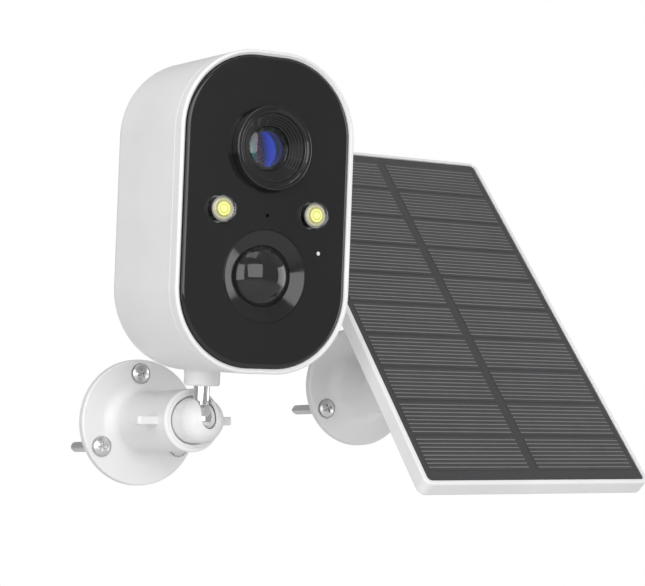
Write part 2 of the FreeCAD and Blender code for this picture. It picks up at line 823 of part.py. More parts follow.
def camera_module():
    """Lens holder, image sensor and their board."""
    board_front = "sensor_board_back + sensor_board_thick"
    holder = new_piece("lens_holder", FACE)
    block = sketch_on(holder, "XZ_Plane", board_front)
    add_rounded(block, "holder_side", "holder_side", "holder_corner", "0", "lens_up")
    add_circle(block, "0", "lens_up", "holder_bore")
    pad(holder, block, f"barrel_back - ({board_front})")
    sensor = new_piece("image_sensor", FACE)
    chip = sketch_on(sensor, "XZ_Plane", board_front)
    add_rectangle(chip, "sensor_wide", "sensor_high", "0", "lens_up")
    pad(sensor, chip, "sensor_thick")
    board = new_piece("sensor_board", FACE)
    plate = sketch_on(board, "XZ_Plane", "sensor_board_back")
    add_rounded(plate, "sensor_board_side", "sensor_board_side", "sensor_board_corner", "0", "lens_up")
    pad(board, plate, "sensor_board_thick")


# ---- spotlights, motion sensor, microphone, status light -----------------------------------------------

def front_board():
    """Board behind the face that carries the spotlights, motion sensor and microphone."""
    body = new_piece("front_board", FACE)
    plate = sketch_on(body, "XZ_Plane", "front_board_front - front_board_thick")
    add_rounded(plate, "front_board_wide", "front_board_high", "front_board_corner", "0", "-front_board_down")
    pad(body, plate, "front_board_thick")


def spotlight(side, x):
    """Clear cap and silvered reflector of one spotlight."""
    cap = new_piece("led_cap_" + side, on_face(x, "0"))
    top = "face_front + cap_raise"
    inner = "cap_face_radius - cap_wall"
    turn_piece(cap, [
        ("0", f"{top} - cap_wall"), (inner, f"{top} - cap_wall"), (inner, "face_back - led_flange_thick"),
        ("led_flange", "face_back - led_flange_thick"), ("led_flange", "face_back"),
        ("cap_face_radius", "face_back"), ("cap_face_radius", f"{top} - cap_round", "cap_round", 1),
        ("cap_face_radius - cap_round", top), ("0", top),
    ])
    cup = new_piece("led_reflector_" + side, on_face(x, "0"))
    turn_piece(cup, [
        ("reflector_throat", "front_board_front"), ("reflector_radius", "front_board_front"),
        ("reflector_radius", "face_back - led_flange_thick"),
        ("reflector_mouth", "face_back - led_flange_thick"),
        ("reflector_throat", "front_board_front + chip_thick"),
    ])


def led_chips():
    """The two light-emitting chips."""
    solids = []
    for side, x in (("left", "-led_out"), ("right", "led_out")):
        corner = (f"{x} - chip_side / 2", "-front_board_front - chip_thick", "-chip_side / 2")
        solids.append(part_box("chip_" + side, corner, ("chip_side", "chip_thick", "chip_side")))
    group("led_chips", FACE, solids)


def motion_sensor():
    """Conical dish, domed lens and metal-can sensor."""
    place = on_face("0", "-pir_down")
    base = "face_front - dish_depth"
    ring = new_piece("pir_ring", place)
    turn_piece(ring, [
        ("dish_radius", "flange_back"), ("pir_flange", "flange_back"), ("pir_flange", "face_back"),
        ("pir_radius", "face_back"), ("pir_radius", "face_front"), ("pir_radius - dish_land", "face_front"),
        ("dish_radius", base),
    ])
    dome = new_piece("pir_dome", place)
    outer = "(dish_radius * dish_radius + dome_crown * dome_crown) / (2 * dome_crown)"
    rim = "(dish_radius - dome_wall)"
    rise = "(dome_crown - dome_wall)"
    inner = f"({rim} * {rim} + {rise} * {rise}) / (2 * {rise})"
    turn_piece(dome, [
        ("dish_radius", "flange_back"), ("dish_radius", base, outer, 1), ("0", f"{base} + dome_crown"),
        ("0", f"{base} + {rise}", inner, -1), (rim, base), (rim, "flange_back"),
    ])
    can = new_piece("pir_sensor", place)
    turn_piece(can, [
        ("0", "front_board_front"), ("pir_can_flange", "front_board_front"),
        ("pir_can_flange", "front_board_front + pir_can_base"), ("pir_can", "front_board_front + pir_can_base"),
        ("pir_can", "front_board_front + pir_can_length"), ("0", "front_board_front + pir_can_length"),
    ])


def microphone_parts():
    """Microphone capsule and the rubber tube that seals it to the face."""
    place = on_face("0", "-mic_down")
    middle = "front_board_front + mic_length"
    capsule = new_piece("microphone", place)
    turn_piece(capsule, [("0", "front_board_front"), ("mic_radius", "front_board_front"), ("mic_radius", middle),
                         ("0", middle)])
    seal = new_piece("microphone_gasket", place)
    turn_piece(seal, [("mic_hole", middle), ("mic_radius", middle), ("mic_radius", "face_back"),
                      ("mic_hole", "face_back")])


def status_light_pipe():
    """Clear rod that carries the status light to the face."""
    body = new_piece("status_light_pipe", on_face("status_x", "-status_down"))
    turn_piece(body, [("0", "front_board_front"), ("status_radius", "front_board_front"),
                      ("status_radius", "face_front"), ("0", "face_front")])


# ---- electronics and battery ---------------------------------------------------------------------------

def main_board():
    """Main board with its four screws and its chips."""
    body = new_piece("main_board", FACE)
    plate = sketch_on(body, "XZ_Plane", "board_front - board_thick")
    add_rounded(plate, "board_wide", "board_high", "board_corner", "0", "board_up")
    for x in ("post_x", "-post_x"):
        for up in ("post_up", "-post_up"):
            add_circle(plate, x, up, "board_screw")
    pad(body, plate, "board_thick")
    screws = new_piece("board_screws", FACE)
    heads = sketch_on(screws, "XZ_Plane", "board_front")
    shanks = sketch_on(screws, "XZ_Plane", "board_front - board_screw_length")
    for x in ("post_x", "-post_x"):
        for up in ("post_up", "-post_up"):
            add_circle(heads, x, up, "board_screw_head")
            add_circle(shanks, x, up, "board_screw")
    pad(screws, heads, "board_screw_head_height")
    pad(screws, shanks, "board_screw_length")
    chips = []
    for name, x, up, wide, high, thick in (("processor", "-6", "4", "12", "12", "1.4"),
                                           ("memory", "10", "4", "8", "10", "1"),
                                           ("radio", "-14", "-14", "12", "16", "1.3"),
                                           ("power_chip", "12", "-16", "7", "7", "1.2")):
        corner = (f"{x} - {wide} / 2", f"-board_front - {thick}", f"{up} - {high} / 2")
        chips.append(part_box(name, corner, (wide, thick, high)))
    group("main_board_chips", FACE, chips)


def battery():
    """Two round lithium cells in a moulded cradle."""
    cells = []
    for side, x in (("left", "-cell_spread"), ("right", "cell_spread")):
        foot = (x, "-cell_forward", "cell_up - cell_length / 2")
        cells.append(part_cylinder("cell_" + side, foot, "cell_radius", "cell_length"))
    group("battery_cells", FACE, cells)
    cradle = new_piece("battery_cradle", FACE)
    block = sketch_on(cradle, "XZ_Plane", "cradle_back")
    add_rounded(block, "cradle_wide", "cradle_high", "cradle_corner", "0", "cell_up")
    pad(cradle, block, "cradle_front - cradle_back")
    hollow = sketch_on(cradle, "XZ_Plane", "cradle_back")
    add_rectangle(hollow, "cradle_wide - 2 * cradle_wall", "cradle_high - 2 * cradle_wall", "0", "cell_up")
    pocket(cradle, hollow, "cradle_front - cradle_back - cradle_wall", forward=True)


def speaker():
    """Small loudspeaker above the grille in the shell's underside."""
    body = new_piece("speaker", FACE)
    disc = sketch_on(body, "XY_Plane", "-speaker_down - speaker_thick / 2")
    add_circle(disc, "0", "-speaker_forward", "speaker_radius")
    pad(body, disc, "speaker_thick")


def wifi_antenna():
    """Flexible aerial stuck to the left wall."""
    corner = ("wall - body_width / 2", "-antenna_wide - board_front - 2", "-antenna_long / 2")
    group("wifi_antenna", FACE, [part_box("aerial_strip", corner, ("antenna_thick", "antenna_wide",
                                                                   "antenna_long"))])


def port_parts():
    """Small board at the rear with the charging port and the two switches."""
    board = new_piece("port_board", FACE)
    plate = sketch_on(board, "XZ_Plane", "port_board_back")
    add_rounded(plate, "port_board_wide", "port_board_high", "port_board_corner", "port_board_x",
                "-port_down - port_board_drop")
    pad(board, plate, "port_board_thick")
    socket = new_piece("charging_port", FACE)
    shell = sketch_on(socket, "XZ_Plane", "socket_back")
    add_rounded(shell, "socket_wide", "socket_high", "(socket_high / 2 - 0.1)", "socket_x", "-port_down")
    pad(socket, shell, "port_board_back - socket_back")
    mouth = sketch_on(socket, "XZ_Plane", "socket_back")
    add_rounded(mouth, "socket_wide - 2 * socket_wall", "socket_high - 2 * socket_wall",
                "(socket_high / 2 - 0.1 - socket_wall)", "socket_x", "-port_down")
    pocket(socket, mouth, "port_board_back - socket_back - socket_floor", forward=True)
    tongue = sketch_on(socket, "XZ_Plane", "socket_back + tongue_sunk")
    add_rectangle(tongue, "socket_wide - tongue_margin", "tongue_thick", "socket_x", "-port_down")
    pad(socket, tongue, "port_board_back - socket_back - tongue_sunk")
    switches = []
    for name, x, side in (("power_switch", "power_x", "switch_side"),
                          ("reset_switch", "reset_x", "reset_switch_side")):
        corner = (f"{x} - {side} / 2", "-port_board_back", f"-port_down - {side} / 2")
        switches.append(part_box(name, corner, (side, "port_board_back - switch_back", side)))
    group("tact_switches", FACE, switches)


def buttons():
    """Power button in the rear wall, and the small reset button under the rubber flap."""
    outside = "front - body_depth"
    # local Z points forward, into the camera; the button's crown is its lowest end
    power = new_piece("power_button", on_face("power_x", "-port_down"))
    crown = f"{outside} - power_proud"
    retainer = f"{outside} + rear_wall + slip_gap"
    turn_piece(power, [
        ("0", crown), ("power_radius - power_bevel", crown), ("power_radius", f"{crown} + power_bevel"),
        ("power_radius", retainer), ("power_radius + retainer_wide", retainer),
        ("power_radius + retainer_wide", f"{retainer} + retainer_thick"),
        ("power_radius - retainer_wide", f"{retainer} + retainer_thick"),
        ("power_radius - retainer_wide", "button_front"), ("0", "button_front"),
    ])
    reset = new_piece("reset_button", on_face("reset_x", "-port_down"))
    turn_piece(reset, [("0", "reset_back"), ("reset_radius", "reset_back"), ("reset_radius", "button_front"),
                       ("0", "button_front")])


def port_cover():
    """Rubber flap over the charging port: a plate that lifts on its top edge, with a plug and a finger lip."""
    body = new_piece("port_cover", FACE)
    inner = "front - body_depth - flap_gap"
    outer = f"{inner} - flap_thick"
    plate = sketch_on(body, "XZ_Plane", outer)
    add_rounded(plate, "flap_wide", "flap_high", "flap_corner", "port_x", "-port_down")
    pad(body, plate, "flap_thick")
    back = -value(outer)
    soften(body, "Fillet", "flap_round", lambda edge: level(edge, "Y", back))
    plug = sketch_on(body, "XZ_Plane", inner)
    add_rounded(plug, "port_wide - plug_slack", "port_high - plug_slack", "port_corner", "port_x", "-port_down")
    pad(body, plug, "flap_plug")
    grip = sketch_on(body, "XZ_Plane", f"{outer} - grip_proud")
    add_rounded(grip, "grip_wide", "grip_high", "grip_corner", "port_x", "-port_down - flap_high / 2 + grip_up")
    pad(body, grip, "grip_proud")


# ---- solar panel ---------------------------------------------------------------------------------------

def add_panel_outline(sketch, inset):
    """The panel's outline, moved in by an inset."""
    corner = "(panel_corner - {0})".format(inset) if value(inset) < value("panel_corner") - 0.5 else "0.5"
    add_rounded(sketch, f"panel_wide - 2 * {inset}", f"panel_long - 2 * {inset}", corner, "0", "panel_rise")


def corner_places():
    """The panel's four screw places."""
    for side in ("", "-"):
        for end in ("+", "-"):
            yield (f"{side}(panel_wide / 2 - corner_post_in)",
                   f"panel_rise {end} (panel_long / 2 - corner_post_in)")


def panel_frame():
    """White frame with a front lip for the cells and a rear rebate for the cover."""
    body = new_piece("panel_frame", PANEL_BALL)
    back = "panel_face - panel_thick"
    band = sketch_on(body, "XZ_Plane", back)
    add_panel_outline(band, "0")
    add_panel_outline(band, "frame_wide")
    pad(body, band, "panel_thick")
    lip = sketch_on(body, "XZ_Plane", "panel_face")
    add_panel_outline(lip, "lip_wide")
    pocket(body, lip, "lip_depth")
    rebate = sketch_on(body, "XZ_Plane", back)
    add_panel_outline(rebate, "cover_inset")
    pocket(body, rebate, "cover_thick", forward=True)
    posts = sketch_on(body, "XZ_Plane", f"{back} + cover_thick")
    holes = sketch_on(body, "XZ_Plane", f"{back} + cover_thick")
    for x, up in corner_places():
        add_circle(posts, x, up, "corner_post")
        add_circle(holes, x, up, "cover_screw")
    pad(body, posts, "panel_thick - lip_depth - cover_thick")
    pocket(body, holes, "cover_screw_sink + cover_screw_length - cover_thick", forward=True)
    front_y = -value("panel_face")
    side = value("panel_wide / 2")
    low, top = value("panel_rise - panel_long / 2"), value("panel_rise + panel_long / 2")
    soften(body, "Fillet", "frame_round",
           lambda edge: level(edge, "Y", front_y) and on_border(edge, side, low, top))


def panel_back():
    """Rear cover with the stud boss."""
    body = new_piece("panel_back", PANEL_BALL)
    back = "panel_face - panel_thick"
    plate = sketch_on(body, "XZ_Plane", back)
    add_panel_outline(plate, "cover_inset")
    pad(body, plate, "cover_thick")
    boss = sketch_on(body, "XZ_Plane", "boss_start")
    add_circle(boss, "0", "0", "panel_boss")
    pad(body, boss, f"{back} + cover_thick - boss_start")
    foot = -value(back)
    wide = 2 * value("panel_boss")
    soften(body, "Fillet", "panel_boss_foot - panel_boss",
           lambda edge: level(edge, "Y", foot) and abs(edge.BoundBox.XLength - wide) < TOUCH)
    bore = sketch_on(body, "XZ_Plane", f"{back} + cover_thick")
    add_circle(bore, "0", "0", "insert_radius")
    pocket(body, bore, f"{back} + cover_thick - insert_start")
    mouth = sketch_on(body, "XZ_Plane", "insert_start")
    add_circle(mouth, "0", "0", "boss_mouth")
    pocket(body, mouth, "insert_start - boss_start + 1")
    holes = sketch_on(body, "XZ_Plane", back)
    sinks = sketch_on(body, "XZ_Plane", back)
    for x, up in corner_places():
        add_circle(holes, x, up, "cover_screw")
        add_circle(sinks, x, up, "cover_screw_head + 0.1")
    pocket(body, holes, "cover_thick + 1", forward=True)
    pocket(body, sinks, "cover_screw_sink", forward=True)


def panel_back_screws():
    """Four small screws, sunk in the rear cover."""
    body = new_piece("panel_back_screws", PANEL_BALL)
    back = "panel_face - panel_thick"
    heads = sketch_on(body, "XZ_Plane", back)
    shanks = sketch_on(body, "XZ_Plane", f"{back} + cover_screw_sink")
    for x, up in corner_places():
        add_circle(heads, x, up, "cover_screw_head")
        add_circle(shanks, x, up, "cover_screw")
    pad(body, heads, "cover_screw_sink")
    pad(body, shanks, "cover_screw_length")


def panel_laminate():
    """Backing board, solar cells and the clear sheet over them."""
    floor = "panel_face - lip_depth"
    backing = new_piece("cell_backing", PANEL_BALL)
    plate = sketch_on(backing, "XZ_Plane", floor)
    add_panel_outline(plate, "lip_wide")
    pad(backing, plate, "backing_thick")
    top = f"{floor} + backing_thick"
    rows, columns = DIMENSIONS["cell_rows"], DIMENSIONS["cell_columns"]
    wide = "((panel_wide - 2 * lip_wide - 2 * cell_side_margin - column_gap) / cell_columns)"
    pitch = "((panel_long - 2 * lip_wide - cell_low_margin - cell_high_margin + row_gap) / cell_rows)"
    left = "(lip_wide + cell_side_margin - panel_wide / 2)"
    low = "(panel_rise - panel_long / 2 + lip_wide + cell_low_margin)"
    cells = []
    for column in range(columns):
        for step in range(rows):
            corner = (f"{left} + {column} * ({wide} + column_gap)", f"-({top}) - cell_thick",
                      f"{low} + {step} * {pitch}")
            cells.append(part_box(f"solar_cell_{column}_{step}", corner, (wide, "cell_thick",
                                                                         f"{pitch} - row_gap")))
    group("solar_cells", PANEL_BALL, cells)
    sheet = new_piece("clear_sheet", PANEL_BALL)
    film = sketch_on(sheet, "XZ_Plane", f"{top} + cell_thick")
    add_panel_outline(film, "lip_wide")
    pad(sheet, film, "sheet_thick")


def junction_box():
    """Box on the rear cover over the cable joint, with the charge board inside the panel."""
    back = "panel_face - panel_thick"
    body = new_piece("junction_box", PANEL_BALL)
    block = sketch_on(body, "XZ_Plane", f"{back} - box_deep")
    add_rounded(block, "box_wide", "box_high", "box_corner", "0", "-box_down")
    pad(body, block, "box_deep")
    rear = -value(f"{back} - box_deep")
    soften(body, "Fillet", "box_round", lambda edge: level(edge, "Y", rear))
    hollow = sketch_on(body, "XZ_Plane", back)
    add_rectangle(hollow, "box_wide - 2 * box_wall", "box_high - 2 * box_wall", "0", "-box_down")
    pocket(body, hollow, "box_deep - box_wall")
    outlet = sketch_on(body, "XY_Plane", "-box_down - box_high / 2 + box_wall + 0.5")
    add_circle(outlet, "0", f"-({back}) + box_deep / 2", "gland_neck")
    pocket(body, outlet, "box_wall + 1")
    board = new_piece("charge_board", PANEL_BALL)
    plate = sketch_on(board, "XZ_Plane", f"{back} + cover_thick")
    add_rectangle(plate, "charge_board_wide", "charge_board_high", "0", "-box_down")
    pad(board, plate, "charge_board_thick")


def cable_gland():
    """Tapered rubber gland in the junction box's lower wall, open for the charging cable."""
    middle = "-(panel_face - panel_thick) + box_deep / 2"
    body = new_piece("cable_gland", PANEL_BALL + " * " + move("0", middle, "-box_down - box_high / 2"))
    turn_piece(body, [
        ("gland_bore", "box_wall"), ("gland_bore", "-gland_length"), ("gland_tip", "-gland_length"),
        ("gland_radius", "0"), ("gland_neck", "0"), ("gland_neck", "box_wall"),
    ])


# ---- the assembly --------------------------------------------------------------------------------------

for owner, bracket_frame, stud_frame in (("camera", CAMERA_BRACKET, CAMERA_BALL),
                                         ("panel", PANEL_BRACKET, PANEL_STUD)):
    bracket(owner + "_bracket", bracket_frame)
    wall_screws(owner + "_wall_screws", bracket_frame)
    ball_seat(owner + "_ball_seat", bracket_frame)
    clamp_cap(owner + "_clamp_cap", bracket_frame)
    wing_nut(owner + "_wing_nut", bracket_frame)
    ball_stud(owner + "_ball_stud", stud_frame)
    mount_insert(owner + "_insert", stud_frame)
main_shell()
front_rim()
face_panel()
face_gasket()
lens_ring()
lens_barrel()
lens_front_glass()
lens_inner_element()
camera_module()
front_board()
spotlight("left", "-led_out")
spotlight("right", "led_out")
led_chips()
motion_sensor()
microphone_parts()
status_light_pipe()
main_board()
battery()
speaker()
wifi_antenna()
port_parts()
buttons()
port_cover()
panel_frame()
panel_back()
panel_back_screws()
panel_laminate()
junction_box()
cable_gland()

doc.recompute()
faults = [f"{item.Name}: {item.State}" for item in doc.Objects
          if "Invalid" in item.State or "Error" in item.State]
faults += [piece.Label for piece in pieces if piece.Shape.isNull() or not piece.Shape.isValid()]
if faults:
    raise RuntimeError("failed objects: " + "; ".join(faults))
os.makedirs("parts", exist_ok=True)
for piece in pieces:
    piece.Shape.exportStep(f"parts/{piece.Label}.step")
print(len(pieces), "nodes written")
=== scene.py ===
"""Solar-powered security camera: the finished surfaces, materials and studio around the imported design.

Lengths are metres in the row frame: the wall is the plane y = 0, -Y is forward, +Z is up and +X is to the
right seen from the front. A Place is a frame of its own on the object: an origin and a tip about the X axis.
In a place, a piece is drawn with x to the right, "up" along z and "forward" along -y.
"""

import json
import math
from collections import namedtuple

import bmesh
import bpy
import numpy as np
from bpy.props import FloatProperty, FloatVectorProperty, IntProperty, PointerProperty
from mathutils import Matrix, Vector


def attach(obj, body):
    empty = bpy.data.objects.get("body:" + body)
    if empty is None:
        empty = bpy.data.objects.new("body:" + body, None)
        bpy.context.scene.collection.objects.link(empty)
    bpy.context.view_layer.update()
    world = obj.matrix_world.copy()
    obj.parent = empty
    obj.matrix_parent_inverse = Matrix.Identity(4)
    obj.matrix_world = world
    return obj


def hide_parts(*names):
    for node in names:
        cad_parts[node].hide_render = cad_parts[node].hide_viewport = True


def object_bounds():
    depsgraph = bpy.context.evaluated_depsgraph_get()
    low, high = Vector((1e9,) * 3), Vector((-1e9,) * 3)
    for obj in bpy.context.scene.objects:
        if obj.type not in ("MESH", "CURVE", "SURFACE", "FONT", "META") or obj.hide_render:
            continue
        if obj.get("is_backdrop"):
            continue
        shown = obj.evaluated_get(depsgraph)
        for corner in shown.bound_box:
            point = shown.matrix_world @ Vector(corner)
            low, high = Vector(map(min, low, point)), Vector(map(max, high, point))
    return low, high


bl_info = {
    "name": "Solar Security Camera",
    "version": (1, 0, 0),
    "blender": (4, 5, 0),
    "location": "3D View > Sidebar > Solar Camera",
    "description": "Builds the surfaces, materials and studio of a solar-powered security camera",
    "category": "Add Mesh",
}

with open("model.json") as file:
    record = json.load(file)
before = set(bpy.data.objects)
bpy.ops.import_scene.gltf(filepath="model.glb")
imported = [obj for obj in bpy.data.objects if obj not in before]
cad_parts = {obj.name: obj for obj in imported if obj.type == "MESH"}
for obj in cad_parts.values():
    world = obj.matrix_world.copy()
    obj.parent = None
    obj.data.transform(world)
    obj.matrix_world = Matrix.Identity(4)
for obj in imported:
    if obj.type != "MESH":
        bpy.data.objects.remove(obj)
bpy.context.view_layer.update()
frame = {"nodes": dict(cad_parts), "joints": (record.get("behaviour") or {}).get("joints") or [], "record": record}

MM = 0.001
MERGE = 0.5e-6
SHARP = 0.01 * MM
CAMERA_SPOT = (-280.27 * MM, -586.17 * MM, -12.26 * MM)
CAMERA_YAW, CAMERA_PITCH = math.radians(31.14), math.radians(4.99)
BODY_OF = {node: body for body, nodes in frame["record"]["behaviour"]["bodies"].items() for node in nodes}
SLOT_OF = {part["node"]: part["material_slot"] for part in frame["record"]["subparts"]}
JOINTS = {joint["name"]: joint for joint in frame["joints"]}

Place = namedtuple("Place", "origin tip")


# ---- places on the object ------------------------------------------------------------------------------

def turn_matrix(tip):
    """Rotation about the X axis."""
    c, s = math.cos(tip), math.sin(tip)
    return np.array([[1, 0, 0], [0, c, -s], [0, s, c]])


def to_row(points, place):
    """Points of a place, in the row frame."""
    return points @ turn_matrix(place.tip).T + place.origin


def place_at(place, point, tip=0.0):
    """A place whose origin is a point of another place, tipped further about X."""
    return Place(to_row(np.array(point, float), place), place.tip + tip)


def local_box(node, place):
    """Lowest and highest corner of a CAD node, measured in a place."""
    mesh = frame["nodes"][node].data
    points = np.empty(len(mesh.vertices) * 3)
    mesh.vertices.foreach_get("co", points)
    points = (points.reshape(-1, 3) - place.origin) @ turn_matrix(place.tip)
    return points.min(0), points.max(0)


def joint_place(tilt, turn, stud_forward):
    """The place at a ball's centre: its tip is what turns the stud's rest axis into the axis of the turn."""
    axis = JOINTS[turn]["axis"]
    tip = math.atan2(-axis[2], -axis[1]) if stud_forward else math.atan2(-axis[1], axis[2])
    return Place(np.array(JOINTS[tilt]["pos_m"], float), tip)


CAMERA_BALL = joint_place("camera_tilt", "camera_pan", False)
PANEL_BALL = joint_place("panel_tilt", "panel_spin", True)
CAMERA_WALL = Place(CAMERA_BALL.origin * [1, 0, 1], 0.0)
PANEL_WALL = Place(PANEL_BALL.origin * [1, 0, 1], 0.0)
CAMERA_STUD = Place(CAMERA_BALL.origin, CAMERA_BALL.tip - math.pi / 2)
RIM_LOW, RIM_HIGH = local_box("front_rim", CAMERA_BALL)
FACE = place_at(CAMERA_BALL, (0, 0, (RIM_LOW[2] + RIM_HIGH[2]) / 2))
BODY_WIDE, BODY_HIGH = (RIM_HIGH - RIM_LOW)[[0, 2]]
FRONT = -RIM_LOW[1]
REAR = -local_box("main_shell", FACE)[1][1]
REACH = -CAMERA_BALL.origin[1]
PANEL_LOW, PANEL_HIGH = local_box("panel_frame", PANEL_BALL)


def centre_of(node, place):
    """Middle of a CAD node across and up, in a place."""
    low, high = local_box(node, place)
    return tuple(((low + high) / 2)[[0, 2]])


def depth_of(node, place):
    """How far back and how far forward a CAD node reaches, in a place."""
    low, high = local_box(node, place)
    return -high[1], -low[1]


# ---- settings ------------------------------------------------------------------------------------------

def length(name, description, millimetres):
    """A length that the user may change."""
    return FloatProperty(name=name, description=description, default=millimetres * MM, unit="LENGTH")


def colour(name, description, value):
    """A colour that the user may change."""
    return FloatVectorProperty(name=name, description=description, default=value, subtype="COLOR", size=3,
                               min=0.0, max=1.0)


class HousingSettings(bpy.types.PropertyGroup):
    """Sizes of the camera's housing and face."""
    corner: length("Corner", "Radius of the body's corners, seen from the front", 25.5)
    rear_round: length("Rear round", "Radius of the edge round the back", 5.0)
    wall: length("Wall", "Thickness of the shell's side wall", 2.2)
    rear_wall: length("Rear wall", "Thickness of the shell's back", 2.4)
    rim_wide: length("Rim width", "Width of the white rim, seen from the front", 1.6)
    rim_depth: length("Rim depth", "Depth of the white rim, from its front to its seam", 4.4)
    rim_slope: length("Rim slope", "How far the rim's inner edge falls behind its crest", 0.9)
    seam: length("Seam", "Radius of the two edges at the seam", 0.3)
    face_bevel: length("Face bevel", "Width of the round edge of the black face", 1.5)


class LensSettings(bpy.types.PropertyGroup):
    """Sizes of the lens and its collar."""
    collar: length("Collar radius", "Outer radius of the raised collar", 12.9)
    collar_bore: length("Collar bore", "Inner radius of the raised collar", 10.6)
    mouth: length("Barrel mouth", "Radius of the barrel's mouth", 9.6)
    steps: IntProperty(name="Barrel steps", description="Steps between the mouth and the glass", default=4)
    step_back: length("Step depth", "Depth of each step", 0.7)
    bore: length("Barrel bore", "Radius of the bore behind the glass", 5.2)


class FittingSettings(bpy.types.PropertyGroup):
    """Sizes of the spotlights, motion sensor and small openings on the face."""
    cap: length("Spotlight cap", "Radius of a spotlight's clear cap", 4.3)
    cap_round: length("Cap round", "Radius of the cap's front edge", 1.3)
    lamp_lens: length("Lamp lens", "Radius of the yellow lens inside a cap", 3.35)
    dish: length("Dish radius", "Outer radius of the motion sensor's dish", 14.3)
    dome: length("Dome radius", "Radius of the motion sensor's dome", 9.4)
    dish_depth: length("Dish depth", "Depth of the dish at the dome", 1.4)
    pinhole: length("Pinhole", "Radius of the microphone and status openings", 0.6)


class BracketSettings(bpy.types.PropertyGroup):
    """Sizes shared by the two wall brackets."""
    disc: length("Disc radius", "Radius of the wall disc", 21.3)
    disc_thick: length("Disc thickness", "Thickness of the wall disc", 3.0)
    tube: length("Tube radius", "Radius of the tube", 10.0)
    flare: length("Flare radius", "Radius of the curve between disc and tube", 4.4)
    screw_circle: length("Screw circle", "Distance of each screw from the centre", 16.5)
    recess: length("Recess radius", "Radius of the recess round each screw", 3.6)
    nut: length("Nut radius", "Radius of the wing nut's ring", 10.2)
    wing_reach: length("Wing reach", "How far a wing reaches from the centre", 17.0)
    wing_thick: length("Wing thickness", "Thickness of a wing", 2.7)
    cap: length("Cap radius", "Radius of the slotted dome", 7.4)
    slot: length("Slot width", "Width of the slot in the dome", 6.0)
    ball: length("Ball radius", "Radius of the chrome ball", 5.6)
    stem: length("Stem radius", "Radius of the chrome stem", 2.55)


class PanelSettings(bpy.types.PropertyGroup):
    """Sizes of the solar panel."""
    corner: length("Corner", "Radius of the panel's corners", 3.0)
    lip: length("Lip", "Width of the white lip round the cells", 1.5)
    lip_depth: length("Lip depth", "Depth of the lip", 1.6)
    edge_round: length("Edge round", "Radius of the panel's outer edges", 0.7)
    rows: IntProperty(name="Rows", description="Rows of cells", default=10)
    columns: IntProperty(name="Columns", description="Columns of cells", default=2)
    fingers: IntProperty(name="Fingers", description="Silver fingers on each cell", default=8)
    finger_wide: length("Finger width", "Width of a silver finger", 0.34)


class FinishSettings(bpy.types.PropertyGroup):
    """Colours of the main finishes."""
    white: colour("White plastic", "Colour of the housing, brackets and panel frame", (0.80, 0.80, 0.80))
    black: colour("Black face", "Colour of the glossy face", (0.013, 0.013, 0.0135))
    cell: colour("Solar cell", "Colour of the cells", (0.038, 0.038, 0.041))
    finger: colour("Finger", "Colour of the silver fingers", (0.42, 0.42, 0.42))
    lamp: colour("Lamp", "Colour of the spotlights' phosphor", (0.93, 0.94, 0.30))


class StudioSettings(bpy.types.PropertyGroup):
    """Strength of the studio's light, and the lens."""
    sky: FloatProperty(name="Sky", description="Brightness of the surroundings as a light", default=0.36)
    key: FloatProperty(name="Key light", description="Power of the front softbox", default=8.6, unit="POWER")
    side: FloatProperty(name="Side light", description="Power of the side softboxes", default=4.2,
                        unit="POWER")
    top: FloatProperty(name="Top light", description="Power of the softbox above", default=2.4, unit="POWER")
    lens: FloatProperty(name="Lens", description="Focal length in millimetres", default=105.89)


SETTINGS = {
    "sc_housing": HousingSettings, "sc_lens": LensSettings, "sc_fittings": FittingSettings,
    "sc_bracket": BracketSettings, "sc_panel": PanelSettings, "sc_finish": FinishSettings,
    "sc_studio": StudioSettings,
}


# ---- profiles ------------------------------------------------------------------------------------------

def rounded(corners, closed=False, steps=6):
    """A profile through corners (a, b, radius): each corner with a radius becomes an arc tangent to its two
    sides, whose centre lies on the bisector at radius / sin(half the angle)."""
    points = np.array([corner[:2] for corner in corners], float)
    count = len(points)
    result = []
    for number, corner in enumerate(corners):
        here = points[number]
        inner = closed or 0 < number < count - 1
        if len(corner) == 2 or corner[2] <= 0 or not inner:
            result.append(here[None])
            continue
        before, after = points[number - 1] - here, points[(number + 1) % count] - here
        before, after = before / np.linalg.norm(before), after / np.linalg.norm(after)
        half = math.acos(float(np.clip(before @ after, -1, 1))) / 2
        bisector = (before + after) / np.linalg.norm(before + after)
        centre = here + bisector * corner[2] / math.sin(half)
        start = here + before * corner[2] / math.tan(half) - centre
        end = here + after * corner[2] / math.tan(half) - centre
        first = math.atan2(start[1], start[0])
        sweep = (math.atan2(end[1], end[0]) - first + math.pi) % (2 * math.pi) - math.pi
        angles = first + sweep * np.linspace(0, 1, steps + 1)
        result.append(centre + corner[2] * np.stack([np.cos(angles), np.sin(angles)], -1))
    return np.concatenate(result)


def arc(centre, radius, start, end, steps=24):
    """Points of an arc about a centre (radius from the axis, height), between two angles in degrees."""
    angles = np.radians(np.linspace(start, end, steps + 1))
    return np.stack([centre[0] + radius * np.cos(angles), centre[1] + radius * np.sin(angles)], -1)


def crown(edge, height, rise, steps=20):
    """Arc from (edge, height) to the axis at height + rise: a circle of radius (edge^2 + rise^2) / 2 rise."""
    radius = (edge ** 2 + rise ** 2) / (2 * abs(rise))
    side = math.copysign(1, rise)
    angles = np.linspace(math.asin(min(edge / radius, 1)), 0, steps + 1)
    return np.stack([radius * np.sin(angles), height + rise - side * radius * (1 - np.cos(angles))], -1)


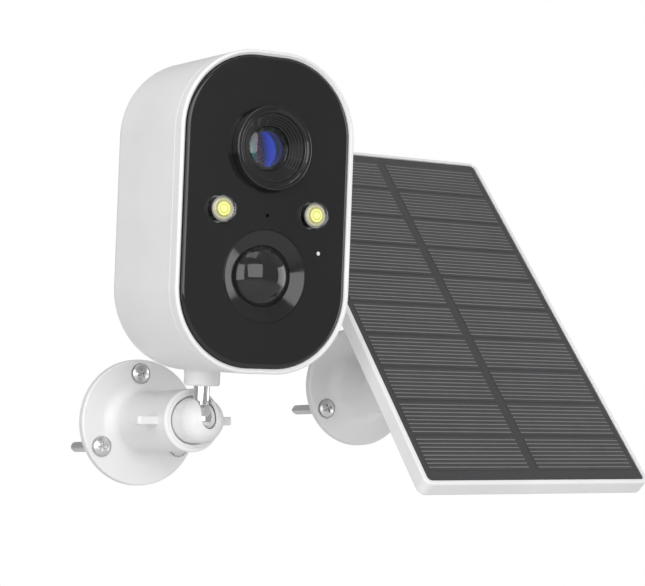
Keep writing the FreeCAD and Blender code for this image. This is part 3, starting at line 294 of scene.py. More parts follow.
def outline(wide, high, corner, steps=20, side_steps=8):
    """Points of a rectangle with round corners: in each corner, centre + radius (cos a, sin a), then evenly
    spaced points along the straight side that follows. The first point comes again at the end."""
    quarter = np.linspace(0, math.pi / 2, steps + 1)
    arcs = []
    for number, (x, y) in enumerate(((1, 1), (-1, 1), (-1, -1), (1, -1))):
        middle = np.array([x * (wide / 2 - corner), y * (high / 2 - corner)])
        angles = quarter + number * math.pi / 2
        arcs.append(middle + corner * np.stack([np.cos(angles), np.sin(angles)], -1))
    spread = np.linspace(0, 1, side_steps + 1)[1:-1, None]
    parts = []
    for number, points in enumerate(arcs):
        following = arcs[(number + 1) % 4][0]
        parts += [points, points[-1] + (following - points[-1]) * spread]
    return np.concatenate(parts + [arcs[0][:1]])


# ---- surfaces ------------------------------------------------------------------------------------------

def surface(grid):
    """A grid of points as corner points and four-sided faces between neighbours."""
    rows, columns = grid.shape[:2]
    index = np.arange(rows * columns).reshape(rows, columns)
    faces = np.stack([index[:-1, :-1], index[1:, :-1], index[1:, 1:], index[:-1, 1:]], -1)
    return grid.reshape(-1, 3), faces.reshape(-1, 4)


def turned(profile, place, centre=(0.0, 0.0), closed=False, segments=96):
    """A profile (radius, forward) carried round an axis that points forward:
    x = centre x + radius cos(a), up = centre up + radius sin(a), for a from 0 to a full turn."""
    if closed:
        profile = np.concatenate([profile, profile[:1]])
    angles = np.linspace(0, 2 * math.pi, segments + 1)
    radius, forward = profile[:, :1], profile[:, 1:]
    grid = np.stack([centre[0] + radius * np.cos(angles), -forward + 0 * angles,
                     centre[1] + radius * np.sin(angles)], -1)
    return surface(to_row(grid, place))


def carried(wide, high, corner, rows, place, centre=(0.0, 0.0), closed=False, flat=False, steps=20):
    """A rounded rectangle carried along rows of (inset, height, shrink): each row is the outline moved in by
    its inset, then drawn towards the centre by its shrink. Height runs forward, or up when flat is true."""
    if closed:
        rows = np.concatenate([rows, rows[:1]])
    lines = [outline(wide - 2 * row[0], high - 2 * row[0], max(corner - row[0], 0.2 * MM), steps)
             * (1 - (row[2] if len(row) > 2 else 0)) for row in rows]
    grid = np.array(lines) + centre
    height = np.array([row[1] for row in rows])[:, None] + 0 * grid[..., 0]
    layers = (grid[..., 0], -grid[..., 1], height) if flat else (grid[..., 0], -height, grid[..., 1])
    return surface(to_row(np.stack(layers, -1), place))


def slab(wide, high, corner, low, top, edge, place, centre=(0.0, 0.0), flat=False, steps=8):
    """A rounded rectangle from one height to another, with round edges and closed ends."""
    quarter = np.linspace(0, math.pi / 2, 5)
    sink = edge * (1 - np.sin(quarter))
    lift = edge * (1 - np.cos(quarter))
    centre_rows = np.array([1.0, 0.66, 0.33])
    ends = np.stack([0 * centre_rows + edge, 0 * centre_rows, centre_rows], -1)
    rows = np.concatenate([
        ends + [0, low, 0], np.stack([sink, low + lift, 0 * sink], -1),
        np.stack([sink, top - lift, 0 * sink], -1)[::-1], (ends + [0, top, 0])[::-1],
    ])
    return carried(wide, high, corner, rows, place, centre, flat=flat, steps=steps)


def cylinder(radius, start, end, place, centre=(0.0, 0.0), segments=64):
    """A plain rod along the forward axis, used to cut with."""
    return turned(np.array([(0, start), (radius, start), (radius, end), (0, end)]), place, centre,
                  segments=segments)


def box_between(low, high, place):
    """A box between two corners (x, forward, up), used to cut with."""
    x = np.array([low[0], high[0], high[0], low[0], low[0]])
    up = np.array([low[2], low[2], high[2], high[2], low[2]])
    middle = np.array([(low[0] + high[0]) / 2, (low[2] + high[2]) / 2])
    rows = []
    for share, forward in ((0, low[1]), (1, low[1]), (1, high[1]), (0, high[1])):
        rows.append(np.stack([middle[0] + (x - middle[0]) * share, 0 * x - forward,
                              middle[1] + (up - middle[1]) * share], -1))
    return surface(to_row(np.array(rows), place))


# ---- pieces --------------------------------------------------------------------------------------------

def tidy_mesh(mesh, outward=True):
    """Merge the seam and the poles, drop what collapsed, and turn every face outwards."""
    work = bmesh.new()
    work.from_mesh(mesh)
    bmesh.ops.remove_doubles(work, verts=work.verts, dist=MERGE)
    bmesh.ops.dissolve_degenerate(work, edges=work.edges, dist=MERGE / 10)
    if outward:
        bmesh.ops.recalc_face_normals(work, faces=work.faces)
    work.to_mesh(mesh)
    work.free()


def new_piece(name, surfaces):
    """An object made of one or more closed surfaces."""
    points, faces, total = [], [], 0
    for its_points, its_faces in surfaces:
        points.append(its_points)
        faces.append(its_faces + total)
        total += len(its_points)
    mesh = bpy.data.meshes.new(name)
    mesh.from_pydata(np.concatenate(points).tolist(), [], np.concatenate(faces).tolist())
    tidy_mesh(mesh)
    piece = bpy.data.objects.new(name, mesh)
    bpy.context.scene.collection.objects.link(piece)
    return piece


def settle(piece):
    """Apply a piece's modifiers to its mesh."""
    bpy.context.view_layer.update()
    made = bpy.data.meshes.new_from_object(piece.evaluated_get(bpy.context.evaluated_depsgraph_get()))
    piece.modifiers.clear()
    old, piece.data = piece.data, made
    made.name = piece.name
    bpy.data.meshes.remove(old)


def combine(piece, surfaces, operation):
    """Cut surfaces out of a piece, or join them to it."""
    tool = new_piece("tool", surfaces)
    change = piece.modifiers.new(operation.title(), "BOOLEAN")
    change.operation, change.solver, change.object = operation, "EXACT", tool
    settle(piece)
    bpy.data.objects.remove(tool)
    if not len(piece.data.polygons):
        raise RuntimeError(f"{piece.name} came to nothing when it was cut")


def break_edges(piece, width, degrees=42, segments=2):
    """Round the edges that a cut has left sharp."""
    bevel = piece.modifiers.new("Bevel", "BEVEL")
    bevel.width, bevel.segments = width, segments
    bevel.limit_method, bevel.angle_limit = "ANGLE", math.radians(degrees)
    bevel.use_clamp_overlap = True
    settle(piece)


def smooth(piece, degrees=32):
    """Smooth shading with crisp edges above an angle, weighted to the large faces."""
    piece.data.shade_smooth()
    piece.data.set_sharp_from_angle(angle=math.radians(degrees))
    weight = piece.modifiers.new("Weighted", "WEIGHTED_NORMAL")
    weight.keep_sharp = True
    settle(piece)


def stand_in(piece, node, material, *more_nodes):
    """Give a piece its finish, and put it in the place of CAD nodes, on their body."""
    smooth(piece)
    piece.data.materials.clear()
    piece.data.materials.append(material)
    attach(piece, BODY_OF[node])
    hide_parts(node, *more_nodes)
    return piece


def add_detail(piece, node, material):
    """Give an extra piece its finish and put it on the body of a CAD node."""
    smooth(piece)
    piece.data.materials.append(material)
    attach(piece, BODY_OF[node])
    return piece


def record_radius(piece, place, centre):
    """Attributes that place the painted reflection bands and rings: how far each point lies from an axis, and how
    far across and up from it.
    """
    mesh = piece.data
    points = np.empty(len(mesh.vertices) * 3)
    mesh.vertices.foreach_get("co", points)
    local = (points.reshape(-1, 3) - place.origin) @ turn_matrix(place.tip)
    across, up = local[:, 0] - centre[0], local[:, 2] - centre[1]
    for name, values in (("radius", np.hypot(across, up)), ("across", across), ("up", up)):
        layer = mesh.attributes.new(name, "FLOAT", "POINT")
        layer.data.foreach_set("value", (values / MM).astype(np.float32))


# ---- shader node groups --------------------------------------------------------------------------------

class Tree:
    """Short ways to add nodes to a node tree."""

    def __init__(self, tree):
        self.tree = tree

    def node(self, kind, **settings):
        made = self.tree.nodes.new("ShaderNode" + kind)
        for name, value in settings.items():
            setattr(made, name, value)
        return made

    def link(self, output, socket):
        self.tree.links.new(output, socket)

    def feed(self, socket, value):
        """Link an output into a socket, or set the socket."""
        if isinstance(value, bpy.types.NodeSocket):
            self.link(value, socket)
        else:
            socket.default_value = value

    def maths(self, operation, *values, clamp=False):
        made = self.node("Math", operation=operation, use_clamp=clamp)
        for socket, value in zip(made.inputs, values):
            self.feed(socket, value)
        return made.outputs[0]

    def mix(self, factor, first, second, blend="MIX"):
        made = self.node("Mix", data_type="RGBA", blend_type=blend)
        for name, value in (("Factor_Float", factor), ("A_Color", first), ("B_Color", second)):
            self.feed(next(item for item in made.inputs if item.identifier == name), value)
        return next(item for item in made.outputs if item.identifier == "Result_Color")

    def between(self, value, low, high, to_low=0.0, to_high=1.0, smooth_ends=True):
        kind = "SMOOTHSTEP" if smooth_ends else "LINEAR"
        made = self.node("MapRange", interpolation_type=kind)
        for name, item in (("Value", value), ("From Min", low), ("From Max", high), ("To Min", to_low),
                           ("To Max", to_high)):
            self.feed(made.inputs[name], item)
        return made.outputs["Result"]

    def noise(self, coordinates, scale, detail=3.0, roughness=0.5):
        made = self.node("TexNoise")
        self.feed(made.inputs["Vector"], coordinates)
        self.feed(made.inputs["Scale"], scale)
        made.inputs["Detail"].default_value = detail
        made.inputs["Roughness"].default_value = roughness
        return made.outputs["Fac"]

    def ramp(self, factor, stops, interpolation="LINEAR"):
        made = self.node("ValToRGB")
        made.color_ramp.interpolation = interpolation
        elements = made.color_ramp.elements
        while len(elements) < len(stops):
            elements.new(0.5)
        for element, (position, shade) in zip(elements, stops):
            element.position, element.color = position, (*shade, 1.0)
        self.feed(made.inputs["Fac"], factor)
        return made.outputs["Color"]

    def stretched(self, coordinates, scale):
        made = self.node("Mapping")
        self.feed(made.inputs["Vector"], coordinates)
        made.inputs["Scale"].default_value = scale
        return made.outputs["Vector"]


GROUP_SOCKETS = {"Float": "NodeSocketFloat", "Colour": "NodeSocketColor"}


def new_group(name, inputs, outputs):
    """An empty node group with named sockets: inputs are (name, kind, default), outputs are (name, kind)."""
    group = bpy.data.node_groups.new(name, "ShaderNodeTree")
    for label, kind, default in inputs:
        socket = group.interface.new_socket(label, in_out="INPUT", socket_type=GROUP_SOCKETS[kind])
        socket.default_value = default
    for label, kind in outputs:
        group.interface.new_socket(label, in_out="OUTPUT", socket_type=GROUP_SOCKETS[kind])
    return Tree(group), group


def group_ends(group):
    """The input and output nodes of a group."""
    start = group.nodes.new("NodeGroupInput")
    end = group.nodes.new("NodeGroupOutput")
    return start.outputs, end.inputs


def moulded_group():
    """Moulded plastic: soft clouds shift the colour and the gloss, and two fine noises make the grain."""
    tree, group = new_group("Moulded Plastic", [
        ("Colour", "Colour", (0.8, 0.8, 0.8, 1)), ("Shade", "Colour", (0.7, 0.7, 0.7, 1)),
        ("Gloss", "Float", 0.4), ("Gloss Range", "Float", 0.1), ("Grain", "Float", 2500.0),
    ], [("Colour", "Colour"), ("Roughness", "Float"), ("Height", "Float")])
    given, result = group_ends(group)
    place = tree.node("TexCoord").outputs["Object"]
    clouds = tree.noise(place, 28.0, 4.0)
    fine = tree.noise(place, given["Grain"], 2.0)
    broad = tree.noise(place, tree.maths("MULTIPLY", given["Grain"], 0.27), 2.0)
    tree.link(tree.mix(tree.between(clouds, 0.35, 0.75), given["Colour"], given["Shade"]), result["Colour"])
    shift = tree.maths("MULTIPLY", tree.maths("SUBTRACT", tree.noise(place, 75.0, 5.0), 0.5),
                       given["Gloss Range"])
    tree.link(tree.maths("ADD", given["Gloss"], shift, clamp=True), result["Roughness"])
    tree.link(tree.maths("ADD", tree.maths("MULTIPLY", fine, 0.6), tree.maths("MULTIPLY", broad, 0.4)),
              result["Height"])
    return group


def dust_group():
    """Dust that settles on what faces up: the normal's height times a soft noise is the mask."""
    tree, group = new_group("Settled Dust", [
        ("Colour", "Colour", (0.8, 0.8, 0.8, 1)), ("Dust", "Colour", (0.55, 0.53, 0.5, 1)),
        ("Amount", "Float", 0.2),
    ], [("Colour", "Colour"), ("Mask", "Float")])
    given, result = group_ends(group)
    coordinates = tree.node("TexCoord")
    split = tree.node("SeparateXYZ")
    tree.link(coordinates.outputs["Normal"], split.inputs[0])
    facing = tree.between(split.outputs["Z"], 0.1, 0.95)
    specks = tree.between(tree.noise(coordinates.outputs["Object"], 420.0, 6.0, 0.62), 0.38, 0.72)
    mask = tree.maths("MULTIPLY", tree.maths("MULTIPLY", facing, specks), given["Amount"], clamp=True)
    tree.link(tree.mix(mask, given["Colour"], given["Dust"]), result["Colour"])
    tree.link(mask, result["Mask"])
    return group


def wear_group():
    """Handling wear: a mask of the raised edges, broken up by noise, that pales the colour."""
    tree, group = new_group("Edge Wear", [
        ("Colour", "Colour", (0.1, 0.1, 0.1, 1)), ("Worn", "Colour", (0.3, 0.3, 0.3, 1)),
        ("Amount", "Float", 0.5),
    ], [("Colour", "Colour"), ("Mask", "Float")])
    given, result = group_ends(group)
    raised = tree.between(tree.node("NewGeometry").outputs["Pointiness"], 0.52, 0.60)
    broken = tree.between(tree.noise(tree.node("TexCoord").outputs["Object"], 900.0, 4.0), 0.4, 0.65)
    mask = tree.maths("MULTIPLY", tree.maths("MULTIPLY", raised, broken), given["Amount"], clamp=True)
    tree.link(tree.mix(mask, given["Colour"], given["Worn"]), result["Colour"])
    tree.link(mask, result["Mask"])
    return group


def metal_group():
    """Machined metal: noise drawn out along one direction gives fine marks, and clouds dull the polish."""
    tree, group = new_group("Machined Metal", [
        ("Colour", "Colour", (0.7, 0.7, 0.7, 1)), ("Tarnish", "Colour", (0.5, 0.5, 0.5, 1)),
        ("Gloss", "Float", 0.2), ("Marks", "Float", 0.1),
    ], [("Colour", "Colour"), ("Roughness", "Float"), ("Height", "Float")])
    given, result = group_ends(group)
    place = tree.node("TexCoord").outputs["Object"]
    lines = tree.noise(tree.stretched(place, (1.0, 14.0, 1.0)), 700.0, 3.0)
    clouds = tree.noise(place, 160.0, 4.0)
    tree.link(tree.mix(tree.between(clouds, 0.4, 0.8), given["Colour"], given["Tarnish"]), result["Colour"])
    rough = tree.maths("MULTIPLY", tree.maths("ADD", lines, clouds), given["Marks"])
    tree.link(tree.maths("ADD", given["Gloss"], rough, clamp=True), result["Roughness"])
    tree.link(lines, result["Height"])
    return group


def clear_group():
    """Wiped clear surface: faint smears shift the gloss, and rare specks make a height."""
    tree, group = new_group("Wiped Surface", [("Gloss", "Float", 0.05), ("Smears", "Float", 0.1)],
                            [("Roughness", "Float"), ("Height", "Float")])
    given, result = group_ends(group)
    place = tree.node("TexCoord").outputs["Object"]
    smears = tree.between(tree.noise(tree.stretched(place, (1.0, 1.0, 3.0)), 60.0, 5.0), 0.45, 0.8)
    rough = tree.maths("MULTIPLY", smears, given["Smears"])
    tree.link(tree.maths("ADD", given["Gloss"], rough, clamp=True), result["Roughness"])
    tree.link(tree.noise(place, 1500.0, 2.0), result["Height"])
    return group


# ---- materials -----------------------------------------------------------------------------------------

class Finish(Tree):
    """One material under construction."""

    def __init__(self, name, **sockets):
        self.material = bpy.data.materials.new(name)
        self.material.use_nodes = True
        super().__init__(self.material.node_tree)
        self.shader = self.tree.nodes["Principled BSDF"]
        for socket, value in sockets.items():
            self.shader.inputs[socket.replace("_", " ")].default_value = value

    def use(self, group, **values):
        """Place a node group with this material's own values."""
        made = self.node("Group", node_tree=bpy.data.node_groups[group])
        for name, value in values.items():
            self.feed(made.inputs[name.replace("_", " ")], value)
        return made.outputs

    def to(self, socket, output):
        self.link(output, self.shader.inputs[socket])

    def bump(self, height, distance, strength=1.0):
        made = self.node("Bump")
        made.inputs["Strength"].default_value = strength
        made.inputs["Distance"].default_value = distance
        self.link(height, made.inputs["Height"])
        self.to("Normal", made.outputs["Normal"])


def opaque(shade):
    """A colour with its alpha."""
    return (*tuple(shade)[:3], 1.0)


def scaled(shade, share):
    """A colour made darker or lighter."""
    return tuple(min(part * share, 1.0) for part in tuple(shade)[:3])


def plastic(name, shade, gloss, grain=2500.0, depth=0.012, mottle=0.93, dust=0.0, spread=0.1, worn=None):
    """Moulded plastic or rubber, with grain, settled dust and, on a dark part, pale worn edges."""
    made = Finish(name)
    base = made.use("Moulded Plastic", Colour=opaque(shade), Shade=opaque(scaled(shade, mottle)), Gloss=gloss,
                    Gloss_Range=spread, Grain=grain)
    shown = base["Colour"]
    if worn:
        shown = made.use("Edge Wear", Colour=shown, Worn=opaque(worn), Amount=0.6)["Colour"]
    if dust:
        shown = made.use("Settled Dust", Colour=shown, Amount=dust)["Colour"]
    made.to("Base Color", shown)
    made.to("Roughness", base["Roughness"])
    made.bump(base["Height"], depth * MM)
    return made.material


def metal(name, shade, gloss, marks, depth=0.004, tarnish=0.85):
    """Machined or plated metal."""
    made = Finish(name, Metallic=1.0)
    base = made.use("Machined Metal", Colour=opaque(shade), Tarnish=opaque(scaled(shade, tarnish)),
                    Gloss=gloss, Marks=marks)
    made.to("Base Color", base["Colour"])
    made.to("Roughness", base["Roughness"])
    made.bump(base["Height"], depth * MM)
    return made.material


def clear_film(name, shade, gloss, haze=0.0):
    """Thin clear plastic: it mirrors as much as the Fresnel law says and lets the rest through."""
    made = Finish(name, Metallic=1.0)
    base = made.use("Wiped Surface", Gloss=gloss, Smears=0.12)
    made.to("Roughness", base["Roughness"])
    grain = made.noise(made.node("TexCoord").outputs["Object"], 300.0)
    made.to("Base Color", made.mix(made.between(grain, 0.3, 0.8), opaque(shade), opaque(scaled(shade, 0.92))))
    fresnel = made.node("Fresnel")
    fresnel.inputs["IOR"].default_value = 1.49
    front = made.maths("SUBTRACT", 1.0, made.node("NewGeometry").outputs["Backfacing"])
    mirrored = made.maths("ADD", fresnel.outputs[0], haze, clamp=True)
    made.to("Alpha", made.maths("MULTIPLY", mirrored, front))
    return made.material


def lens_glass():
    """Coated glass of the front element."""
    made = Finish("lens_glass", IOR=1.52, Transmission_Weight=1.0)
    base = made.use("Wiped Surface", Gloss=0.0, Smears=0.04)
    made.to("Roughness", base["Roughness"])
    facing = made.node("LayerWeight")
    facing.inputs["Blend"].default_value = 0.3
    made.to("Base Color", made.mix(facing.outputs["Facing"], (0.93, 0.97, 0.96, 1), (0.70, 0.80, 0.95, 1)))
    return made.material


def lens_coating():
    """Deep element with painted reflections of its coating: green on the left, violet-black in the middle and blue
    on the right, with faint lighter rings that are painted reflections too. Emission makes these colours glow,
    though the element is no lamp.
    """
    # Emission Strength paints a glow: the coated element gives no light of its own.
    made = Finish("lens_coating", Metallic=0.5, Coat_Weight=0.1, Coat_Roughness=0.03, Emission_Strength=1.2)
    across = made.node("Attribute", attribute_name="across").outputs["Fac"]
    up = made.node("Attribute", attribute_name="up").outputs["Fac"]
    radius = made.node("Attribute", attribute_name="radius").outputs["Fac"]
    slant = made.maths("ADD", across, made.maths("MULTIPLY", up, 0.16))
    # Painted reflection: coloured bands across the element stand in for the lights mirrored in its coating.
    painted_reflection_bands = made.ramp(made.between(slant, -6.0, 6.0, smooth_ends=False), [
        (0.0, (0.010, 0.16, 0.10)), (0.30, (0.012, 0.30, 0.20)), (0.42, (0.012, 0.05, 0.06)),
        (0.52, (0.030, 0.004, 0.020)), (0.62, (0.004, 0.006, 0.03)), (0.80, (0.015, 0.03, 0.36)),
        (1.0, (0.02, 0.06, 0.30)),
    ])
    # Painted reflection: lighter rings spaced by the distance from the axis, mixed into the bands and fed to the
    # glow.
    rings = made.maths("SINE", made.maths("MULTIPLY", radius, 7.5))
    painted_reflection_glow = made.mix(made.between(rings, 0.7, 1.0, 0.0, 0.35), painted_reflection_bands, (0.05, 0.09, 0.16, 1))
    made.to("Base Color", painted_reflection_glow)
    made.to("Emission Color", painted_reflection_glow)
    base = made.use("Wiped Surface", Gloss=0.12, Smears=0.1)
    made.to("Roughness", base["Roughness"])
    return made.material


def lamp_lens(shade):
    """Yellow phosphor behind a stepped lens: bright centre, then olive and cream rings, darkening to near-black at
    the rim. The darker yellows and the olive are shaded copies of the phosphor colour, painted shade at the lens's
    steps, and emission paints a faint glow on the unlit lamp.
    """
    # Emission Strength paints a faint glow over the unlit phosphor.
    made = Finish("lamp_lens", Emission_Strength=0.25)
    radius = made.node("Attribute", attribute_name="radius").outputs["Fac"]
    shaded_olive, cream = scaled(shade, 0.25), (0.40, 0.39, 0.27)
    # Painted shade: the darker yellows and the olive are shaded copies of the phosphor colour, set in rings at the
    # lens's steps.
    rings = made.ramp(made.maths("DIVIDE", radius, 3.5), [
        (0.0, tuple(shade)), (0.28, tuple(shade)), (0.35, scaled(shade, 0.42)), (0.43, scaled(shade, 0.85)),
        (0.58, scaled(shade, 0.75)), (0.64, shaded_olive), (0.73, cream), (0.92, cream), (1.0, (0.10, 0.10, 0.08)),
    ])
    flecks = made.noise(made.node("TexCoord").outputs["Object"], 3000.0, 2.0)
    shown = made.mix(made.between(flecks, 0.4, 0.9, 0.0, 0.25), rings, (0.9, 0.85, 0.2, 1))
    made.to("Base Color", shown)
    made.to("Emission Color", shown)
    base = made.use("Wiped Surface", Gloss=0.25, Smears=0.2)
    made.to("Roughness", base["Roughness"])
    return made.material


def glossy_black(name, shade, gloss=0.05):
    """Glossy black plastic with a few fine smears and settled dust."""
    made = Finish(name, Specular_IOR_Level=0.5, Coat_Weight=0.0)
    base = made.use("Wiped Surface", Gloss=gloss, Smears=0.10)
    mottled = made.use("Moulded Plastic", Colour=opaque(shade), Shade=opaque(scaled(shade, 0.8)), Gloss=gloss)
    dusted = made.use("Settled Dust", Colour=mottled["Colour"], Dust=(0.12, 0.12, 0.12, 1), Amount=0.25)
    made.to("Base Color", dusted["Colour"])
    made.to("Roughness", base["Roughness"])
    made.bump(base["Height"], 0.0012 * MM)
    return made.material


def solar_cell(shade):
    """Dark silicon under resin: faint crystal flakes and a soft sheen."""
    made = Finish("solar_cell", Coat_Weight=0.25, Coat_Roughness=0.35)
    flakes = made.node("TexVoronoi")
    made.link(made.node("TexCoord").outputs["Object"], flakes.inputs["Vector"])
    flakes.inputs["Scale"].default_value = 260.0
    tone = made.node("SeparateColor")
    made.link(flakes.outputs["Color"], tone.inputs[0])
    base = made.use("Moulded Plastic", Colour=opaque(shade), Shade=opaque(scaled(shade, 0.82)), Gloss=0.42,
                    Gloss_Range=0.12, Grain=5200.0)
    made.to("Base Color", made.mix(made.maths("MULTIPLY", tone.outputs[0], 0.16), base["Colour"],
                                   (0.075, 0.078, 0.088, 1)))
    made.to("Roughness", base["Roughness"])
    made.bump(base["Height"], 0.004 * MM)
    return made.material


def circuit_board(name, mask_shade, trace_shade):
    """Solder mask over copper tracks: a brick pattern stands for the tracks, lighter than the board."""
    made = Finish(name, Coat_Weight=0.3)
    place = made.node("TexCoord").outputs["Object"]
    tracks = made.node("TexBrick", offset=0.37, squash=1.6)
    made.link(made.stretched(place, (1.0, 0.0, 1.0)), tracks.inputs["Vector"])
    tracks.inputs["Scale"].default_value = 160.0
    tracks.inputs["Mortar Size"].default_value = 0.035
    base = made.use("Moulded Plastic", Colour=opaque(mask_shade), Shade=opaque(scaled(mask_shade, 0.8)),
                    Gloss=0.3, Grain=1800.0)
    made.to("Base Color", made.mix(tracks.outputs["Fac"], base["Colour"], opaque(trace_shade)))
    made.to("Roughness", base["Roughness"])
    made.bump(tracks.outputs["Fac"], 0.03 * MM)
    return made.material


def wrapped_cell():
    """Shrink sleeve of a battery cell, with faint wrinkles along it."""
    made = Finish("battery_wrap", Coat_Weight=0.4)
    place = made.node("TexCoord").outputs["Object"]
    wrinkles = made.noise(made.stretched(place, (1.0, 1.0, 0.12)), 420.0, 4.0)
    base = made.use("Moulded Plastic", Colour=(0.02, 0.12, 0.30, 1), Shade=(0.015, 0.09, 0.24, 1), Gloss=0.25,
                    Grain=900.0)
    made.to("Base Color", base["Colour"])
    made.to("Roughness", base["Roughness"])
    made.bump(wrinkles, 0.05 * MM)
    return made.material


def build_materials(finish):
    """Make every finish of the object, and name it after its material slot."""
    white, black = tuple(finish.white), tuple(finish.black)
    makers = {
        "bracket_white": plastic("bracket_white", white, 0.36, 2300.0, 0.008, dust=0.10),
        "housing_white": plastic("housing_white", white, 0.40, 2600.0, 0.010, dust=0.08),
        "panel_white": plastic("panel_white", white, 0.38, 2400.0, 0.008, dust=0.10),
        "nylon": plastic("nylon", (0.70, 0.69, 0.64), 0.5, 1500.0, 0.01),
        "rubber_white": plastic("rubber_white", (0.72, 0.72, 0.71), 0.62, 3200.0, 0.016, dust=0.12),
        "rubber_black": plastic("rubber_black", (0.016, 0.016, 0.016), 0.7, 3000.0, 0.02, spread=0.2,
                                worn=(0.06, 0.06, 0.06)),
        "lens_black": plastic("lens_black", (0.012, 0.012, 0.013), 0.30, 4200.0, 0.006, spread=0.12,
                              worn=(0.09, 0.09, 0.09)),
        "chip_black": plastic("chip_black", (0.02, 0.02, 0.022), 0.5, 2600.0, 0.01),
        "board_black": plastic("board_black", tuple(finish.cell), 0.45, 3600.0, 0.006, spread=0.12),
        "face_black": glossy_black("face_black", black),
        "dome_dark": glossy_black("dome_dark", scaled(black, 1.2), 0.02),
        "chrome": metal("chrome", (0.86, 0.86, 0.87), 0.03, 0.03, 0.001),
        "screw_steel": metal("screw_steel", (0.74, 0.74, 0.75), 0.16, 0.14),
        "brass": metal("brass", (0.78, 0.57, 0.25), 0.25, 0.15),
        "copper_film": metal("copper_film", (0.80, 0.45, 0.28), 0.3, 0.12),
        "reflector_silver": metal("reflector_silver", (0.90, 0.90, 0.90), 0.06, 0.05, 0.001),
        "finger_silver": metal("finger_silver", tuple(finish.finger), 0.45, 0.1, 0.002),
        "clear_plastic": clear_film("clear_plastic", (0.95, 0.95, 0.95), 0.02),
        "clear_sheet": clear_film("clear_sheet", (0.80, 0.80, 0.80), 0.30, 0.004),
        "lens_glass": lens_glass(),
        "lens_coating": lens_coating(),
        "led_yellow": lamp_lens(finish.lamp),
        "solar_cell": solar_cell(finish.cell),
        "board_green": circuit_board("board_green", (0.012, 0.11, 0.045), (0.03, 0.20, 0.08)),
        "battery_wrap": wrapped_cell(),
    }
    for slot, made in makers.items():
        made.name = slot + "_finish"


def material(slot):
    """The finish made for a slot; the CAD's own flat materials keep the slots' bare names."""
    return bpy.data.materials[slot + "_finish"]


# ---- camera housing ------------------------------------------------------------------------------------

def shrinks(inset, height, start, end, steps=7):
    """Rows that draw an outline in to its centre, or out from it, at one height."""
    share = np.linspace(start, end, steps)
    return np.stack([0 * share + inset, 0 * share + height, share], -1)


def outline_rows(profile):
    """Rows of a profile (inset, height) that keep the outline's full size."""
    return np.concatenate([profile, 0 * profile[:, :1]], -1)


def build_housing(scene):
    """Shell: the outline carried from the middle of the back round its edge to the seam, and back inside."""
    size = scene.sc_housing
    mouth = FRONT - size.rim_depth
    floor = REAR + size.rear_wall
    edge = arc((size.rear_round, REAR + size.rear_round), size.rear_round, 270, 180, 10)
    lip = rounded([(0, mouth - 4 * MM), (0, mouth, size.seam), (size.wall, mouth), (size.wall, floor + MM)])
    sides = np.linspace(REAR + size.rear_round, mouth - 4 * MM, 7)[1:-1]
    rows = np.concatenate([
        shrinks(size.rear_round, REAR, 1, 0), outline_rows(edge),
        np.stack([0 * sides, sides, 0 * sides], -1), outline_rows(lip),
        outline_rows(rounded([(size.wall, floor + 0.6 * MM), (size.wall, floor), (size.wall + MM, floor)])),
        shrinks(size.wall + MM, floor, 0, 1),
    ])
    shell = new_piece("housing_shell", [carried(BODY_WIDE, BODY_HIGH, size.corner, rows, FACE, steps=24)])
    foot, top = depth_of("camera_insert", CAMERA_STUD)
    start = foot - MM
    insert = local_box("camera_insert", CAMERA_BALL)[1][0]
    boss, mouth_bore = insert + 1.55 * MM, insert - 0.9 * MM
    combine(shell, [cylinder(insert + 0.8 * MM, start + 2 * MM, top - MM, CAMERA_STUD)], "DIFFERENCE")
    underside = np.linalg.norm(FACE.origin - CAMERA_BALL.origin) - BODY_HIGH / 2
    ring = rounded([
        (mouth_bore, start, 0.3 * MM), (boss, start, 0.7 * MM), (boss, underside - 0.2 * MM, 0.9 * MM),
        (boss + 1.3 * MM, underside + 0.5 * MM), (boss + 1.3 * MM, underside + 1.2 * MM),
        (boss, top + 0.5 * MM), (insert, top + 0.5 * MM), (insert, foot), (mouth_bore, foot)], closed=True)
    combine(shell, [turned(ring, CAMERA_STUD, closed=True)], "UNION")
    port_wide, port_tall, port_corner, key_hole = 14 * MM, 7 * MM, 1.5 * MM, 3.5 * MM
    cuts = [slab(port_wide, port_tall, port_corner, REAR - MM, floor + MM, SHARP, FACE,
                 centre_of("port_cover", FACE)),
            cylinder(key_hole, REAR - MM, floor + MM, FACE, centre_of("power_button", FACE))]
    speaker_x, speaker_forward = centre_of("speaker", CAMERA_STUD)
    sound_hole, hole_pitch = 0.7 * MM, 2.5 * MM
    for step in range(-2, 3):
        hole = (speaker_x, speaker_forward + step * hole_pitch)
        cuts.append(cylinder(sound_hole, underside - 2 * MM, underside + 3 * MM, CAMERA_STUD, hole,
                             segments=24))
    combine(shell, cuts, "DIFFERENCE")
    break_edges(shell, 0.18 * MM)
    stand_in(shell, "main_shell", material("housing_white"))


def build_rim(scene):
    """Rim: a closed profile of crest, slope, ledge and spigot carried round the outline."""
    size = scene.sc_housing
    base = FRONT - size.rim_depth
    ledge, reach, hook = FRONT - 3.0 * MM, 4.6 * MM, base - 2 * MM
    profile = rounded([
        (0, base, size.seam), (0, FRONT, 0.85 * MM), (size.rim_wide * 0.52, FRONT, 0.5 * MM),
        (size.rim_wide, FRONT - size.rim_slope, 0.25 * MM), (size.rim_wide, ledge, 0.1 * MM),
        (reach, ledge, 0.2 * MM), (reach, hook, 0.2 * MM), (size.wall, hook, 0.2 * MM),
        (size.wall, base)], closed=True)
    rim = new_piece("front_bezel", [carried(BODY_WIDE, BODY_HIGH, size.corner, profile, FACE, closed=True,
                                            steps=32)])
    stand_in(rim, "front_rim", material("housing_white"))


